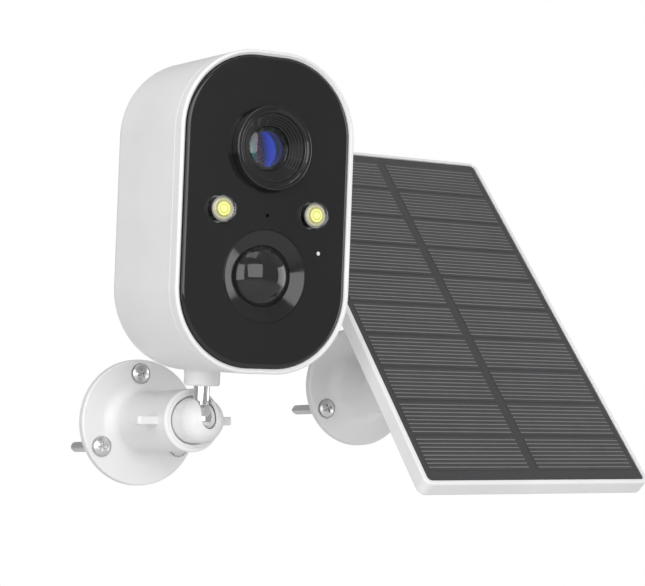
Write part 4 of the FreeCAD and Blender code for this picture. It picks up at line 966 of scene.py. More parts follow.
def build_face(scene):
    """Face: the inset outline carried from the middle of the back, round its bevel, to the middle of the
    front. The openings are then cut and their edges broken."""
    size, fittings, lens = scene.sc_housing, scene.sc_fittings, scene.sc_lens
    back, front = depth_of("face_panel", FACE)
    inset = size.rim_wide + 0.12 * MM
    bevel = size.face_bevel
    quarter = np.linspace(0, math.pi / 2, 9)
    rise = (front - back) * 0.62
    edge = np.stack([inset + bevel * (1 - np.cos(quarter)), front - rise * (1 - np.sin(quarter))], -1)
    rows = np.concatenate([shrinks(inset, back, 1, 0), outline_rows(edge),
                           shrinks(inset + bevel, front, 0, 1, 10)])
    face = new_piece("black_face", [carried(BODY_WIDE, BODY_HIGH, size.corner, rows, FACE, steps=32)])
    gap = 0.08 * MM
    openings = {
        "lens_ring": lens.collar + gap, "pir_ring": fittings.dish, "led_cap_left": fittings.cap + gap,
        "led_cap_right": fittings.cap + gap, "microphone": fittings.pinhole,
        "status_light_pipe": fittings.pinhole}
    cuts = [cylinder(radius, back - MM, front + MM, FACE, centre_of(node, FACE),
                     segments=128 if radius > 5 * MM else 48)
            for node, radius in openings.items()]
    combine(face, cuts, "DIFFERENCE")
    break_edges(face, 0.12 * MM, 60)
    stand_in(face, "face_panel", material("face_black"))


# ---- lens ----------------------------------------------------------------------------------------------

def build_lens(scene):
    """Collar, stepped barrel, front glass and coated element: four profiles turned about the lens axis."""
    size = scene.sc_lens
    centre = centre_of("lens_ring", FACE)
    back, front = depth_of("lens_ring", FACE)
    flange = local_box("lens_ring", FACE)[1][0] - centre[0]
    shelf = depth_of("face_panel", FACE)[0]
    collar = rounded([
        (size.collar_bore, back), (flange, back, 0.2 * MM), (flange, shelf), (size.collar, shelf),
        (size.collar, front, 0.55 * MM), (size.collar - 1.25 * MM, front, 0.2 * MM),
        (size.collar - 1.55 * MM, front - 0.35 * MM, 0.2 * MM),
        (size.collar_bore, front - 0.5 * MM, 0.2 * MM)], closed=True)
    piece = new_piece("lens_collar", [turned(collar, FACE, centre, closed=True, segments=160)])
    stand_in(piece, "lens_ring", material("face_black"))

    low, high = depth_of("lens_barrel", FACE)
    seat = depth_of("lens_front_glass", FACE)[0]
    glass = local_box("lens_front_glass", FACE)[1][0] - centre[0]
    step_in = (size.mouth - glass) / size.steps
    lip = 0.14 * MM
    steps = []
    for step in range(size.steps):
        depth = high - (step + 1) * size.step_back
        steps.append((size.mouth - step * step_in, depth, 0.05 * MM))
        steps.append((size.mouth - (step + 1) * step_in, depth, lip))
    barrel = rounded([
        (size.bore, low), (size.collar_bore, low), (size.collar_bore, high, 0.25 * MM),
        (size.mouth, high, lip), *steps, (glass, seat), (size.bore, seat)], closed=True, steps=4)
    piece = new_piece("lens_barrel_rings", [turned(barrel, FACE, centre, closed=True, segments=160)])
    stand_in(piece, "lens_barrel", material("lens_black"))

    edge, top = seat + 1.2 * MM, depth_of("lens_front_glass", FACE)[1]
    front_glass = np.concatenate([[(0, seat), (glass, seat)], crown(glass, edge, top - edge, 24)])
    piece = new_piece("lens_front_element", [turned(front_glass, FACE, centre, segments=128)])
    stand_in(piece, "lens_front_glass", material("lens_glass"))

    low, high = depth_of("lens_inner_element", FACE)
    bore = local_box("lens_inner_element", FACE)[1][0] - centre[0]
    bulge = 0.9 * MM
    inner = np.concatenate([crown(bore, low + bulge, -bulge)[::-1], crown(bore, high - bulge, bulge)])
    piece = new_piece("lens_coated_element", [turned(inner, FACE, centre, segments=128)])
    record_radius(piece, FACE, centre)
    stand_in(piece, "lens_inner_element", material("lens_coating"))


# ---- spotlights, motion sensor and small parts of the face ---------------------------------------------

def build_spotlights(scene):
    """Clear caps, silvered cups, and a stepped yellow lens over each chip."""
    size = scene.sc_fittings
    chips = []
    for side in ("left", "right"):
        centre = centre_of("led_cap_" + side, FACE)
        back, front = depth_of("led_cap_" + side, FACE)
        flange = local_box("led_cap_" + side, FACE)[1][0] - centre[0]
        shelf = depth_of("face_panel", FACE)[0]
        wall = 0.45 * MM
        cap = rounded([
            (0, front - wall), (size.cap - wall, front - wall, size.cap_round - wall),
            (size.cap - wall, back), (flange, back, 0.1 * MM), (flange, shelf), (size.cap, shelf),
            (size.cap, front, size.cap_round),
            (0, front)], steps=8)
        piece = new_piece("spotlight_cap_" + side, [turned(cap, FACE, centre)])
        stand_in(piece, "led_cap_" + side, material("clear_plastic"))
        low, high = depth_of("led_reflector_" + side, FACE)
        rim = local_box("led_reflector_" + side, FACE)[1][0] - centre[0]
        throat = 2.4 * MM
        mouth = size.cap - wall - 0.12 * MM
        lip = front - 1.9 * MM
        across, fall = arc((throat, high), mouth - throat, 270, 360, 10)[::-1].T
        bowl = np.stack([across, high - 0.6 * MM + 0.4 * (fall - high)], -1)
        outside = [(throat, low), (rim, low), (rim, high), (mouth, high), (mouth, lip),
                   (mouth - 0.25 * MM, lip)]
        cup = np.concatenate([outside, bowl])
        piece = new_piece("spotlight_cup_" + side, [turned(cup, FACE, centre, closed=True)])
        stand_in(piece, "led_reflector_" + side, material("reflector_silver"))
        base, crest = depth_of("led_chips", FACE)[0], front - wall - 0.25 * MM
        radius = size.lamp_lens
        stepped = [
            (0, crest), (radius * 0.28, crest, 0.15 * MM), (radius * 0.34, crest - 0.3 * MM, 0.1 * MM),
            (radius * 0.62, crest - 0.25 * MM, 0.15 * MM), (radius * 0.70, crest - 0.65 * MM, 0.1 * MM),
            (radius * 0.94, crest - 0.6 * MM, 0.2 * MM), (radius, crest - 1.2 * MM, 0.2 * MM),
            (2.2 * MM, base + 0.9 * MM), (2.2 * MM, base), (0, base)]
        chips.append((turned(rounded(stepped, steps=4), FACE, centre), centre))
    piece = new_piece("spotlight_lamps", [chip for chip, _ in chips])
    points = np.empty(len(piece.data.vertices) * 3)
    piece.data.vertices.foreach_get("co", points)
    local = (points.reshape(-1, 3) - FACE.origin) @ turn_matrix(FACE.tip)
    distance = np.min([np.hypot(local[:, 0] - x, local[:, 2] - up) for _, (x, up) in chips], 0)
    layer = piece.data.attributes.new("radius", "FLOAT", "POINT")
    layer.data.foreach_set("value", (distance / MM).astype(np.float32))
    stand_in(piece, "led_chips", material("led_yellow"))


def build_motion_sensor(scene):
    """Dish: a shallow cone turned about the sensor's axis. Dome: a thin shell of two arcs."""
    size = scene.sc_fittings
    centre = centre_of("pir_ring", FACE)
    back, front = depth_of("pir_ring", FACE)
    flange = local_box("pir_ring", FACE)[1][0] - centre[0]
    shelf = depth_of("face_panel", FACE)[0]
    base = front - size.dish_depth
    outer = size.dish - 0.08 * MM
    dish = rounded([
        (size.dome, back), (flange, back), (flange, shelf), (outer, shelf), (outer, front, 0.15 * MM),
        (outer - 0.45 * MM, front, 0.3 * MM), (size.dome, base)], closed=True)
    piece = new_piece("sensor_dish", [turned(dish, FACE, centre, closed=True, segments=160)])
    stand_in(piece, "pir_ring", material("face_black"))
    rise = depth_of("pir_dome", FACE)[1] - base
    wall = 0.8 * MM
    rim = size.dome - 0.12 * MM
    dome = np.concatenate([crown(rim - wall, base, rise - wall)[::-1], [(rim - wall, back)], [(rim, back)],
                           crown(rim, base, rise, 28)])
    piece = new_piece("sensor_dome", [turned(dome, FACE, centre, segments=160)])
    stand_in(piece, "pir_dome", material("dome_dark"))


def build_keys(scene):
    """Power key, reset key, and the rubber flap with its plug and finger lip."""
    centre = centre_of("power_button", FACE)
    back, front = depth_of("power_button", FACE)
    retainer = REAR + scene.sc_housing.rear_wall + 0.3 * MM
    radius, dish = 3.2 * MM, 0.25 * MM
    key = rounded([
        (0, back + dish), (radius - 1.3 * MM, back + dish * 0.6, 0.9 * MM),
        (radius - 0.7 * MM, back, 0.3 * MM), (radius, back + 0.45 * MM, 0.35 * MM), (radius, retainer),
        (radius + MM, retainer), (radius + MM, retainer + 0.8 * MM), (radius - MM, retainer + 0.8 * MM),
        (radius - MM, front), (0, front)])
    stand_in(new_piece("power_key_cap", [turned(key, FACE, centre)]), "power_button",
             material("rubber_black"))
    centre = centre_of("reset_button", FACE)
    back, front = depth_of("reset_button", FACE)
    pin = rounded([(0, back), (MM, back, 0.3 * MM), (MM, front), (0, front)])
    stand_in(new_piece("reset_key_pin", [turned(pin, FACE, centre, segments=48)]), "reset_button",
             material("rubber_black"))
    low, high = local_box("port_cover", FACE)
    wide, tall = high[0] - low[0], high[2] - low[2]
    centre = centre_of("port_cover", FACE)
    outer, thick = -high[1] + 0.7 * MM, 1.4 * MM
    inner = outer + thick
    plate = slab(wide, tall, 2 * MM, outer, inner, 0.5 * MM, FACE, centre)
    flap = new_piece("port_flap_rubber", [plate])
    plug = slab(13.2 * MM, 6.2 * MM, 1.5 * MM, inner - 0.3 * MM, -low[1], 0.2 * MM, FACE, centre)
    combine(flap, [plug], "UNION")
    grip_at = (centre[0], centre[1] - tall / 2 + 1.3 * MM)
    grip = slab(6 * MM, 1.4 * MM, 0.65 * MM, outer - 0.7 * MM, outer + 0.5 * MM, 0.3 * MM, FACE, grip_at)
    combine(flap, [grip], "UNION")
    hinge = (centre[0], centre[1] + tall / 2 - 1.1 * MM)
    combine(flap, [slab(wide - 4 * MM, 0.5 * MM, 0.24 * MM, outer - MM, outer + 0.35 * MM, 0.05 * MM, FACE,
                        hinge)], "DIFFERENCE")
    stand_in(flap, "port_cover", material("rubber_white"))


# ---- brackets ------------------------------------------------------------------------------------------

OWNERS = (("camera", CAMERA_WALL, CAMERA_STUD), ("panel", PANEL_WALL, PANEL_BALL))


def screw_places(size):
    """Where the three wall screws stand: evenly spaced on their circle, the first at the top."""
    for number in range(3):
        angle = math.pi / 2 + number * 2 * math.pi / 3
        yield size.screw_circle * math.cos(angle), size.screw_circle * math.sin(angle)


def build_brackets(scene):
    """Wall disc, flared tube and spigot as one profile turned about the tube's axis, with three recesses."""
    size = scene.sc_bracket
    for owner, wall, _ in OWNERS:
        seat_start = depth_of(owner + "_ball_seat", wall)[0]
        seat = local_box(owner + "_ball_seat", wall)[1][0]
        spigot_end = depth_of(owner + "_bracket", wall)[1]
        seam = depth_of(owner + "_wing_nut", wall)[0] - 0.3 * MM
        bore, bore_end, spigot = 7.0 * MM, 25.0 * MM, 7.6 * MM
        profile = rounded([
            (0, seat_start), (seat, seat_start), (seat, spigot_end, 0.15 * MM),
            (spigot, spigot_end, 0.3 * MM), (spigot, seam), (size.tube, seam, 0.3 * MM),
            (size.tube, size.disc_thick, size.flare),
            (size.disc, size.disc_thick, 0.75 * MM), (size.disc, 0, 0.25 * MM), (bore, 0, 0.4 * MM),
            (bore, bore_end, MM), (0, bore_end)], steps=10)
        piece = new_piece(owner + "_bracket_moulding", [turned(profile, wall, segments=128)])
        floor = size.disc_thick - 0.8 * MM
        cuts = []
        for place in screw_places(size):
            cone = np.array([(0, floor), (size.recess - 0.15 * MM, floor), (size.recess, size.disc_thick),
                             (size.recess, size.disc_thick + size.flare + MM),
                             (0, size.disc_thick + size.flare + MM)])
            cuts += [turned(cone, wall, place, segments=64)]
        combine(piece, cuts, "DIFFERENCE")
        holes = [cylinder(2.2 * MM, -MM, floor + MM, wall, place, 40) for place in screw_places(size)]
        combine(piece, holes, "DIFFERENCE")
        break_edges(piece, 0.16 * MM, 50)
        stand_in(piece, owner + "_bracket", material("bracket_white"))


def threaded(radius, depth, pitch, start, end, place, centre):
    """A screw's shank: radius minus depth times a sharp wave of (height / pitch - angle / full turn).
    The thread fades out at both ends and the tip is drawn down to a point."""
    angles = np.linspace(0, 2 * math.pi, 25)
    heights = np.linspace(start, end, 221)[:, None]
    phase = (heights / pitch - angles / (2 * math.pi)) % 1.0
    wave = np.abs(2 * phase - 1)
    fade = np.clip((heights - start) / (1.5 * pitch), 0, 1) * np.clip((end - heights) / (3 * pitch), 0, 1)
    taper = np.clip((heights - start) / (3.5 * MM), 0.02, 1)
    size = (radius - depth * wave * fade) * taper
    grid = np.stack([centre[0] + size * np.cos(angles), -heights + 0 * angles,
                     centre[1] + size * np.sin(angles)], -1)
    caps = [np.broadcast_to([[centre[0], -height, centre[1]]], (1, len(angles), 3))
            for height in (start, end)]
    return surface(to_row(np.concatenate([caps[0], grid, caps[1]]), place))


def cross_cut(span, width, low, high, place, centre, angle):
    """Two thin boxes crossing at an angle: the recess for a cross-head driver."""
    boxes = []
    for turn in (angle, angle + math.pi / 2):
        points, faces = box_between((-span / 2, low, -width / 2), (span / 2, high, width / 2),
                                    Place(np.zeros(3), 0.0))
        x, up = points[:, 0].copy(), points[:, 2].copy()
        points[:, 0] = centre[0] + x * math.cos(turn) - up * math.sin(turn)
        points[:, 2] = centre[1] + x * math.sin(turn) + up * math.cos(turn)
        boxes.append((to_row(points, place), faces))
    return boxes


def build_wall_screws(scene):
    """Pan-head screws: a domed head with a cross recess over a helical shank."""
    size = scene.sc_bracket
    for owner, wall, _ in OWNERS:
        tip, top = depth_of(owner + "_wall_screws", wall)
        base, head, shank = size.disc_thick - 0.8 * MM, 3.0 * MM, 1.75 * MM
        edge = top - 0.9 * MM
        heads, shanks, crosses = [], [], []
        for number, place in enumerate(screw_places(size)):
            profile = np.concatenate([[(0, base), (head - 0.25 * MM, base), (head, base + 0.25 * MM)],
                                      crown(head, edge, top - edge, 12)])
            heads.append(turned(profile, wall, place, segments=64))
            shanks.append(threaded(shank, 0.34 * MM, 1.3 * MM, tip, base + 0.2 * MM, wall, place))
            angle = 0.5 + 1.1 * number + (0.4 if owner == "panel" else 0.0)
            crosses.append(cross_cut(3.2 * MM, 0.75 * MM, top - 1.25 * MM, top + MM, wall, place, angle))
        piece = new_piece(owner + "_screws", heads)
        for arm in (0, 1):
            combine(piece, [cross[arm] for cross in crosses], "DIFFERENCE")
        break_edges(piece, 0.07 * MM, 50)
        combine(piece, shanks, "UNION")
        stand_in(piece, owner + "_wall_screws", material("screw_steel"))


def build_wing_nuts(scene):
    """Ring turned about the tube's axis, with a groove round its front face, and two flat wings."""
    size = scene.sc_bracket
    for owner, wall, _ in OWNERS:
        start, end = depth_of(owner + "_wing_nut", wall)
        cavity = 8.9 * MM
        lip, bore, thread = end - 1.3 * MM, size.cap + 0.3 * MM, 7.9 * MM
        groove = size.nut - 1.35 * MM
        ring = rounded([
            (thread, start, 0.2 * MM), (size.nut, start, 0.35 * MM), (size.nut, end - 0.25 * MM, 0.7 * MM),
            (groove + 0.16 * MM, end, 0.12 * MM), (groove, end - 0.3 * MM, 0.08 * MM),
            (groove - 0.16 * MM, end, 0.12 * MM), (bore + 0.35 * MM, end, 0.3 * MM),
            (bore, end - 0.5 * MM, 0.2 * MM), (bore, lip), (cavity, lip), (cavity, start + 7.9 * MM),
            (thread, start + 7.9 * MM)], closed=True)
        piece = new_piece(owner + "_nut_with_wings", [turned(ring, wall, closed=True, segments=128)])
        low, high = start + 1.1 * MM, start + 6.3 * MM
        root = size.nut - 0.9 * MM
        wide = size.wing_reach - root
        for side in (-1, 1):
            middle = (side * (root + wide / 2), (low + high) / 2)
            half = size.wing_thick / 2
            plate = slab(wide, high - low, 1.3 * MM, -half, half, 0.45 * MM, wall, middle, flat=True)
            combine(piece, [plate], "UNION")
        stand_in(piece, owner + "_wing_nut", material("bracket_white"))


def build_clamp_caps(scene):
    """Dome over the ball: a profile turned about the tube's axis, then slotted from its crown upwards."""
    size = scene.sc_bracket
    for owner, wall, _ in OWNERS:
        start, crest = depth_of(owner + "_clamp_cap", wall)
        flange, bore, skirt = 8.6 * MM, size.ball + 0.3 * MM, 6.8 * MM
        step = REACH - 2.4 * MM
        outside = arc((0, REACH), size.cap, 90, 0, 28)
        inside = arc((0, REACH), bore, 0, 90, 24)
        skirt_line = rounded([
            tuple(outside[-1]), (size.cap, start + 1.4 * MM, 0.15 * MM),
            (flange, start + 1.4 * MM, 0.15 * MM), (flange, start, 0.15 * MM), (skirt, start, 0.15 * MM),
            (skirt, step), (bore, step),
            tuple(inside[0])], steps=4)
        profile = np.concatenate([outside[:-1], skirt_line, inside[1:]])
        piece = new_piece(owner + "_slotted_cap", [turned(profile, wall, segments=128)])
        half, open_at = size.slot / 2, start + 2.8 * MM
        slot = slab(size.slot, 2 * (flange + 2 * MM), half, open_at, crest + MM, SHARP, wall,
                    (0, flange + 2 * MM - half), steps=16)
        combine(piece, [slot], "DIFFERENCE")
        break_edges(piece, 0.28 * MM, 55, 3)
        stand_in(piece, owner + "_clamp_cap", material("bracket_white"))


def build_ball_studs(scene):
    """Chrome ball, waisted stem and threaded end, turned about the stud's axis."""
    size = scene.sc_bracket
    for owner, _, stud in OWNERS:
        end = depth_of(owner + "_ball_stud", stud)[1]
        collar, thread = end - 9.6 * MM, 2.95 * MM
        meet = math.degrees(math.acos(size.stem / size.ball))
        ball = arc((0, 0), size.ball, -90, meet - 0.5, 40)
        stem = rounded([
            tuple(ball[-1]), (size.stem, size.ball * math.sin(math.radians(meet)) + 0.05 * MM, 0.1 * MM),
            (size.stem, collar, 0.1 * MM), (thread, collar, 0.1 * MM), (thread, end - 0.8 * MM),
            (thread - 0.8 * MM, end), (0, end)])
        piece = new_piece(owner + "_chrome_stud", [turned(np.concatenate([ball[:-1], stem]), stud,
                                                          segments=128)])
        stand_in(piece, owner + "_ball_stud", material("chrome"))


# ---- solar panel ---------------------------------------------------------------------------------------

PANEL_WIDE, PANEL_LONG = (PANEL_HIGH - PANEL_LOW)[[0, 2]]
PANEL_CENTRE = tuple(((PANEL_LOW + PANEL_HIGH) / 2)[[0, 2]])
PANEL_BACK, PANEL_FRONT = depth_of("panel_frame", PANEL_BALL)


def build_panel_frame(scene):
    """Frame: a closed profile of lip, rebate and wall carried round the panel's outline."""
    size = scene.sc_panel
    wide, cover, rebate = 4.0 * MM, 2.0 * MM, 1.8 * MM
    profile = rounded([
        (0, PANEL_BACK, size.edge_round * 1.4), (0, PANEL_FRONT, size.edge_round),
        (size.lip, PANEL_FRONT, 0.25 * MM), (size.lip, PANEL_FRONT - size.lip_depth),
        (wide, PANEL_FRONT - size.lip_depth), (wide, PANEL_BACK + rebate), (cover, PANEL_BACK + rebate),
        (cover, PANEL_BACK, 0.25 * MM)], closed=True)
    frame_surface = carried(PANEL_WIDE, PANEL_LONG, size.corner, profile, PANEL_BALL, PANEL_CENTRE,
                            closed=True, steps=12)
    piece = new_piece("panel_frame_moulding", [frame_surface])
    stand_in(piece, "panel_frame", material("panel_white"))


def build_panel_back(scene):
    """Rear cover: a flat plate, a boss with a curved foot, and four sunk screws."""
    low, high = local_box("panel_back", PANEL_BALL)
    centre = tuple(((low + high) / 2)[[0, 2]])
    wide, tall = high[0] - low[0] - 0.2 * MM, high[2] - low[2] - 0.2 * MM
    back, front, start = PANEL_BACK, -low[1], -high[1]
    piece = new_piece("panel_rear_cover", [slab(wide, tall, MM, back, front, 0.3 * MM, PANEL_BALL, centre)])
    boss, insert, mouth = 7.2 * MM, 4.2 * MM, 3.3 * MM
    post = rounded([
        (0, start), (boss, start, 0.9 * MM), (boss, back, 2.8 * MM), (boss + 3.2 * MM, back),
        (boss + 3.2 * MM, back + 0.6 * MM), (0, back + 0.6 * MM)], steps=10)
    combine(piece, [turned(post, PANEL_BALL, segments=128)], "UNION")
    insert_low = depth_of("panel_insert", PANEL_BALL)[0]
    combine(piece, [cylinder(insert, insert_low, front + MM, PANEL_BALL)], "DIFFERENCE")
    combine(piece, [cylinder(mouth, start - MM, insert_low + 0.5 * MM, PANEL_BALL)], "DIFFERENCE")
    reach = 5.5 * MM
    corners = [(x * (PANEL_WIDE / 2 - reach), PANEL_CENTRE[1] + up * (PANEL_LONG / 2 - reach))
               for x in (-1, 1) for up in (-1, 1)]
    combine(piece, [cylinder(2.0 * MM, back - MM, back + MM, PANEL_BALL, place, 48) for place in corners],
            "DIFFERENCE")
    combine(piece, [cylinder(MM, back, front + MM, PANEL_BALL, place, 32) for place in corners], "DIFFERENCE")
    break_edges(piece, 0.15 * MM, 50)
    stand_in(piece, "panel_back", material("panel_white"))

    head = 1.9 * MM
    heads, crosses = [], []
    for number, place in enumerate(corners):
        profile = rounded([(0, back + 0.08 * MM), (head, back + 0.08 * MM, 0.3 * MM), (head, back + MM),
                           (MM, back + MM), (MM, back + 4.2 * MM), (0, back + 4.2 * MM)], steps=4)
        heads.append(turned(profile, PANEL_BALL, place, segments=40))
        crosses.append(cross_cut(2.1 * MM, 0.5 * MM, back - MM, back + 0.6 * MM, PANEL_BALL, place,
                                 0.3 + 0.9 * number))
    screws = new_piece("panel_cover_screws", heads)
    for arm in (0, 1):
        combine(screws, [cross[arm] for cross in crosses], "DIFFERENCE")
    stand_in(screws, "panel_back_screws", material("screw_steel"))


def build_cells(scene):
    """Cells as thin plates in rows and columns, and the silver fingers printed across each."""
    size = scene.sc_panel
    low, high = local_box("solar_cells", PANEL_BALL)
    back, front = -high[1], -low[1]
    gap_x, gap_up = 3.3 * MM, 1.0 * MM
    wide = (high[0] - low[0] - gap_x * (size.columns - 1)) / size.columns
    pitch = (high[2] - low[2] + gap_up) / size.rows
    finger_pitch = pitch / (size.fingers + 1)
    print_thick, margin = 0.03 * MM, 0.25 * MM
    plates, fingers = [], []
    for column in range(size.columns):
        for row in range(size.rows):
            left = low[0] + column * (wide + gap_x)
            foot = low[2] + row * pitch
            corner = (left + wide, front - print_thick, foot + pitch - gap_up)
            plates.append(box_between((left, back, foot), corner, PANEL_BALL))
            first = foot + (pitch - gap_up - finger_pitch * (size.fingers - 1)) / 2
            for number in range(size.fingers):
                up = first + number * finger_pitch
                fingers.append(box_between(
                    (left + margin, front - print_thick * 1.5, up - size.finger_wide / 2),
                    (left + wide - margin, front, up + size.finger_wide / 2), PANEL_BALL))
    cells = new_piece("cell_plates", plates)
    stand_in(cells, "solar_cells", material("solar_cell"))
    add_detail(new_piece("cell_fingers", fingers), "solar_cells", material("finger_silver"))


def build_junction_box(scene):
    """Box with round edges and a lid line, and a ribbed gland that tapers to the cable's opening."""
    low, high = local_box("junction_box", PANEL_BALL)
    centre = tuple(((low + high) / 2)[[0, 2]])
    back, front = -high[1], -low[1]
    wide, tall = high[0] - low[0], high[2] - low[2]
    lid = back + 3.0 * MM
    rows = outline_rows(rounded([(2 * MM, back), (0, back, 1.3 * MM), (0, lid, 0.15 * MM),
                                 (0.35 * MM, lid + 0.2 * MM, 0.1 * MM), (0, lid + 0.4 * MM, 0.15 * MM),
                                 (0, front)]))
    rows = np.concatenate([shrinks(2 * MM, back, 1, 0), rows, shrinks(0, front, 0, 1)])
    piece = new_piece("junction_box_moulding", [carried(wide, tall, 2.5 * MM, rows, PANEL_BALL, centre,
                                                        steps=8)])
    gland_low, gland_high = local_box("cable_gland", PANEL_BALL)
    middle = -(gland_low[1] + gland_high[1]) / 2
    outlet = place_at(PANEL_BALL, (0, -middle, low[2]), math.pi / 2)
    combine(piece, [cylinder(2.4 * MM, -1.6 * MM, MM, outlet)], "DIFFERENCE")
    stand_in(piece, "junction_box", material("panel_white"))

    length_out = low[2] - gland_low[2]
    root, tip, bore = (gland_high[0] - gland_low[0]) / 2, 2.6 * MM, 1.6 * MM
    ribs = 4
    share = np.linspace(0, 1, ribs * 16 + 1)
    wave = 0.28 * MM * (0.5 - 0.5 * np.cos(share * ribs * 2 * math.pi)) * (share < 0.999)
    side = np.stack([root + (tip - root) * share - wave, 0.1 * MM + share * (length_out - 0.5 * MM)], -1)
    profile = np.concatenate([[(bore, -1.5 * MM), (2.4 * MM, -1.5 * MM), (2.4 * MM, 0), (root - 0.2 * MM, 0)],
                              side, [(tip - 0.3 * MM, length_out), (bore, length_out)]])
    gland = new_piece("cable_gland_ribbed", [turned(profile, outlet, closed=True, segments=64)])
    stand_in(gland, "cable_gland", material("rubber_black"))


# ---- finishes, inner parts and studio ------------------------------------------------------------------

def build_finishes(scene):
    """Build the shared groups first, then the materials that use them."""
    for build in (moulded_group, dust_group, wear_group, metal_group, clear_group):
        build()
    build_materials(scene.sc_finish)


def finish_inner_parts(scene):
    """Give every CAD piece that is still shown the finish of its slot."""
    for node, thing in frame["nodes"].items():
        shown = "nylon" if node == "status_light_pipe" else SLOT_OF[node]
        thing.data.materials.clear()
        thing.data.materials.append(material(shown))


def build_studio(scene):
    """Pale floor that fades into a white surround, four softboxes, and the camera."""
    size = scene.sc_studio
    scene.view_settings.view_transform = "Standard"
    low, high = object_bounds()
    middle = np.array((low + high) / 2)

    reach = np.linspace(0, 3.0, 24)[:, None] ** 1.2
    angles = np.linspace(0, 2 * math.pi, 65)
    drop = low.z - 0.13
    floor_points = np.stack([middle[0] + reach * np.cos(angles), middle[1] + reach * np.sin(angles),
                             drop + 0 * reach * angles], -1)
    floor = new_piece("studio_floor", [surface(floor_points)])
    if floor.data.polygons[0].normal.z < 0:
        floor.data.flip_normals()
    paper = Finish("studio_paper", Roughness=0.9)
    place = paper.node("TexCoord").outputs["Object"]
    paper.to("Base Color", paper.mix(paper.noise(place, 6.0), (0.86, 0.86, 0.86, 1), (0.90, 0.90, 0.90, 1)))
    away = paper.node("VectorMath", operation="DISTANCE")
    paper.link(place, away.inputs[0])
    away.inputs[1].default_value = (middle[0], middle[1], drop)
    paper.to("Alpha", paper.between(away.outputs["Value"], 0.25, 1.1, 1.0, 0.0))
    floor.data.materials.append(paper.material)
    floor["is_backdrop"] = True

    world = bpy.data.worlds.new("studio_surround")
    world.use_nodes = True
    scene.world = world
    sky = Tree(world.node_tree)
    shade = world.node_tree.nodes["Background"]
    shade.inputs["Color"].default_value = (1, 1, 1, 1)
    seen = sky.node("LightPath").outputs["Is Camera Ray"]
    sky.link(sky.between(seen, 0.0, 1.0, size.sky, 1.0, smooth_ends=False), shade.inputs["Strength"])

    for name, direction, distance, wide, tall, power in (
            ("left_softbox", (-1.0, -0.46, 0.15), 1.15, 0.45, 0.9, size.side),
            ("front_softbox", (-0.36, -0.93, 0.22), 1.25, 1.0, 0.9, size.key),
            ("right_softbox", (0.97, -0.26, 0.02), 1.1, 0.75, 0.75, size.side * 1.15),
            ("top_softbox", (-0.3, -0.3, 1.0), 1.2, 0.8, 0.6, size.top)):
        data = bpy.data.lights.new(name, "AREA")
        data.shape, data.size, data.size_y, data.energy = "RECTANGLE", wide, tall, power
        light = bpy.data.objects.new(name, data)
        toward = Vector(direction).normalized()
        light.location = Vector(middle) + toward * distance
        light.rotation_euler = toward.to_track_quat("Z", "Y").to_euler()
        scene.collection.objects.link(light)

    data = bpy.data.cameras.new("studio_camera")
    data.lens, data.sensor_width = size.lens, 36.0
    data.clip_start, data.clip_end = 0.01, 50.0
    yaw, pitch = CAMERA_YAW, CAMERA_PITCH
    forward = np.array([math.sin(yaw) * math.cos(pitch), math.cos(yaw) * math.cos(pitch), math.sin(pitch)])
    right = np.array([math.cos(yaw), -math.sin(yaw), 0.0])
    up = np.cross(right, forward)
    camera = bpy.data.objects.new("studio_camera", data)
    camera.matrix_world = Matrix([(right[i], up[i], -forward[i], CAMERA_SPOT[i]) for i in range(3)]
                                 + [(0, 0, 0, 1)])
    scene.collection.objects.link(camera)
    scene.camera = camera


# ---- operators and panel -------------------------------------------------------------------------------

class SOLARCAM_OT_materials(bpy.types.Operator):
    """Build the shared shader groups and one finish for each kind of material."""
    bl_idname = "solarcam.materials"
    bl_label = "Materials"

    def execute(self, context):
        build_finishes(context.scene)
        return {"FINISHED"}


class SOLARCAM_OT_housing(bpy.types.Operator):
    """Build the white shell with its boss, ports and sound holes."""
    bl_idname = "solarcam.housing"
    bl_label = "Housing Shell"

    def execute(self, context):
        build_housing(context.scene)
        return {"FINISHED"}


class SOLARCAM_OT_rim(bpy.types.Operator):
    """Build the white rim round the black face."""
    bl_idname = "solarcam.rim"
    bl_label = "Front Rim"

    def execute(self, context):
        build_rim(context.scene)
        return {"FINISHED"}


class SOLARCAM_OT_face(bpy.types.Operator):
    """Build the glossy black face with its openings."""
    bl_idname = "solarcam.face"
    bl_label = "Black Face"

    def execute(self, context):
        build_face(context.scene)
        return {"FINISHED"}


class SOLARCAM_OT_lens(bpy.types.Operator):
    """Build the collar, the stepped barrel and the two glasses."""
    bl_idname = "solarcam.lens"
    bl_label = "Lens"

    def execute(self, context):
        build_lens(context.scene)
        return {"FINISHED"}


class SOLARCAM_OT_spotlights(bpy.types.Operator):
    """Build the clear caps, silver cups and yellow lamps."""
    bl_idname = "solarcam.spotlights"
    bl_label = "Spotlights"

    def execute(self, context):
        build_spotlights(context.scene)
        return {"FINISHED"}


class SOLARCAM_OT_motion_sensor(bpy.types.Operator):
    """Build the shallow dish and the dark dome."""
    bl_idname = "solarcam.motion_sensor"
    bl_label = "Motion Sensor"

    def execute(self, context):
        build_motion_sensor(context.scene)
        return {"FINISHED"}


class SOLARCAM_OT_keys(bpy.types.Operator):
    """Build the power key, the reset key and the rubber flap."""
    bl_idname = "solarcam.keys"
    bl_label = "Keys and Flap"

    def execute(self, context):
        build_keys(context.scene)
        return {"FINISHED"}


class SOLARCAM_OT_brackets(bpy.types.Operator):
    """Build both wall discs with their flared tubes."""
    bl_idname = "solarcam.brackets"
    bl_label = "Wall Brackets"

    def execute(self, context):
        build_brackets(context.scene)
        return {"FINISHED"}


class SOLARCAM_OT_wall_screws(bpy.types.Operator):
    """Build the six pan-head screws."""
    bl_idname = "solarcam.wall_screws"
    bl_label = "Wall Screws"

    def execute(self, context):
        build_wall_screws(context.scene)
        return {"FINISHED"}


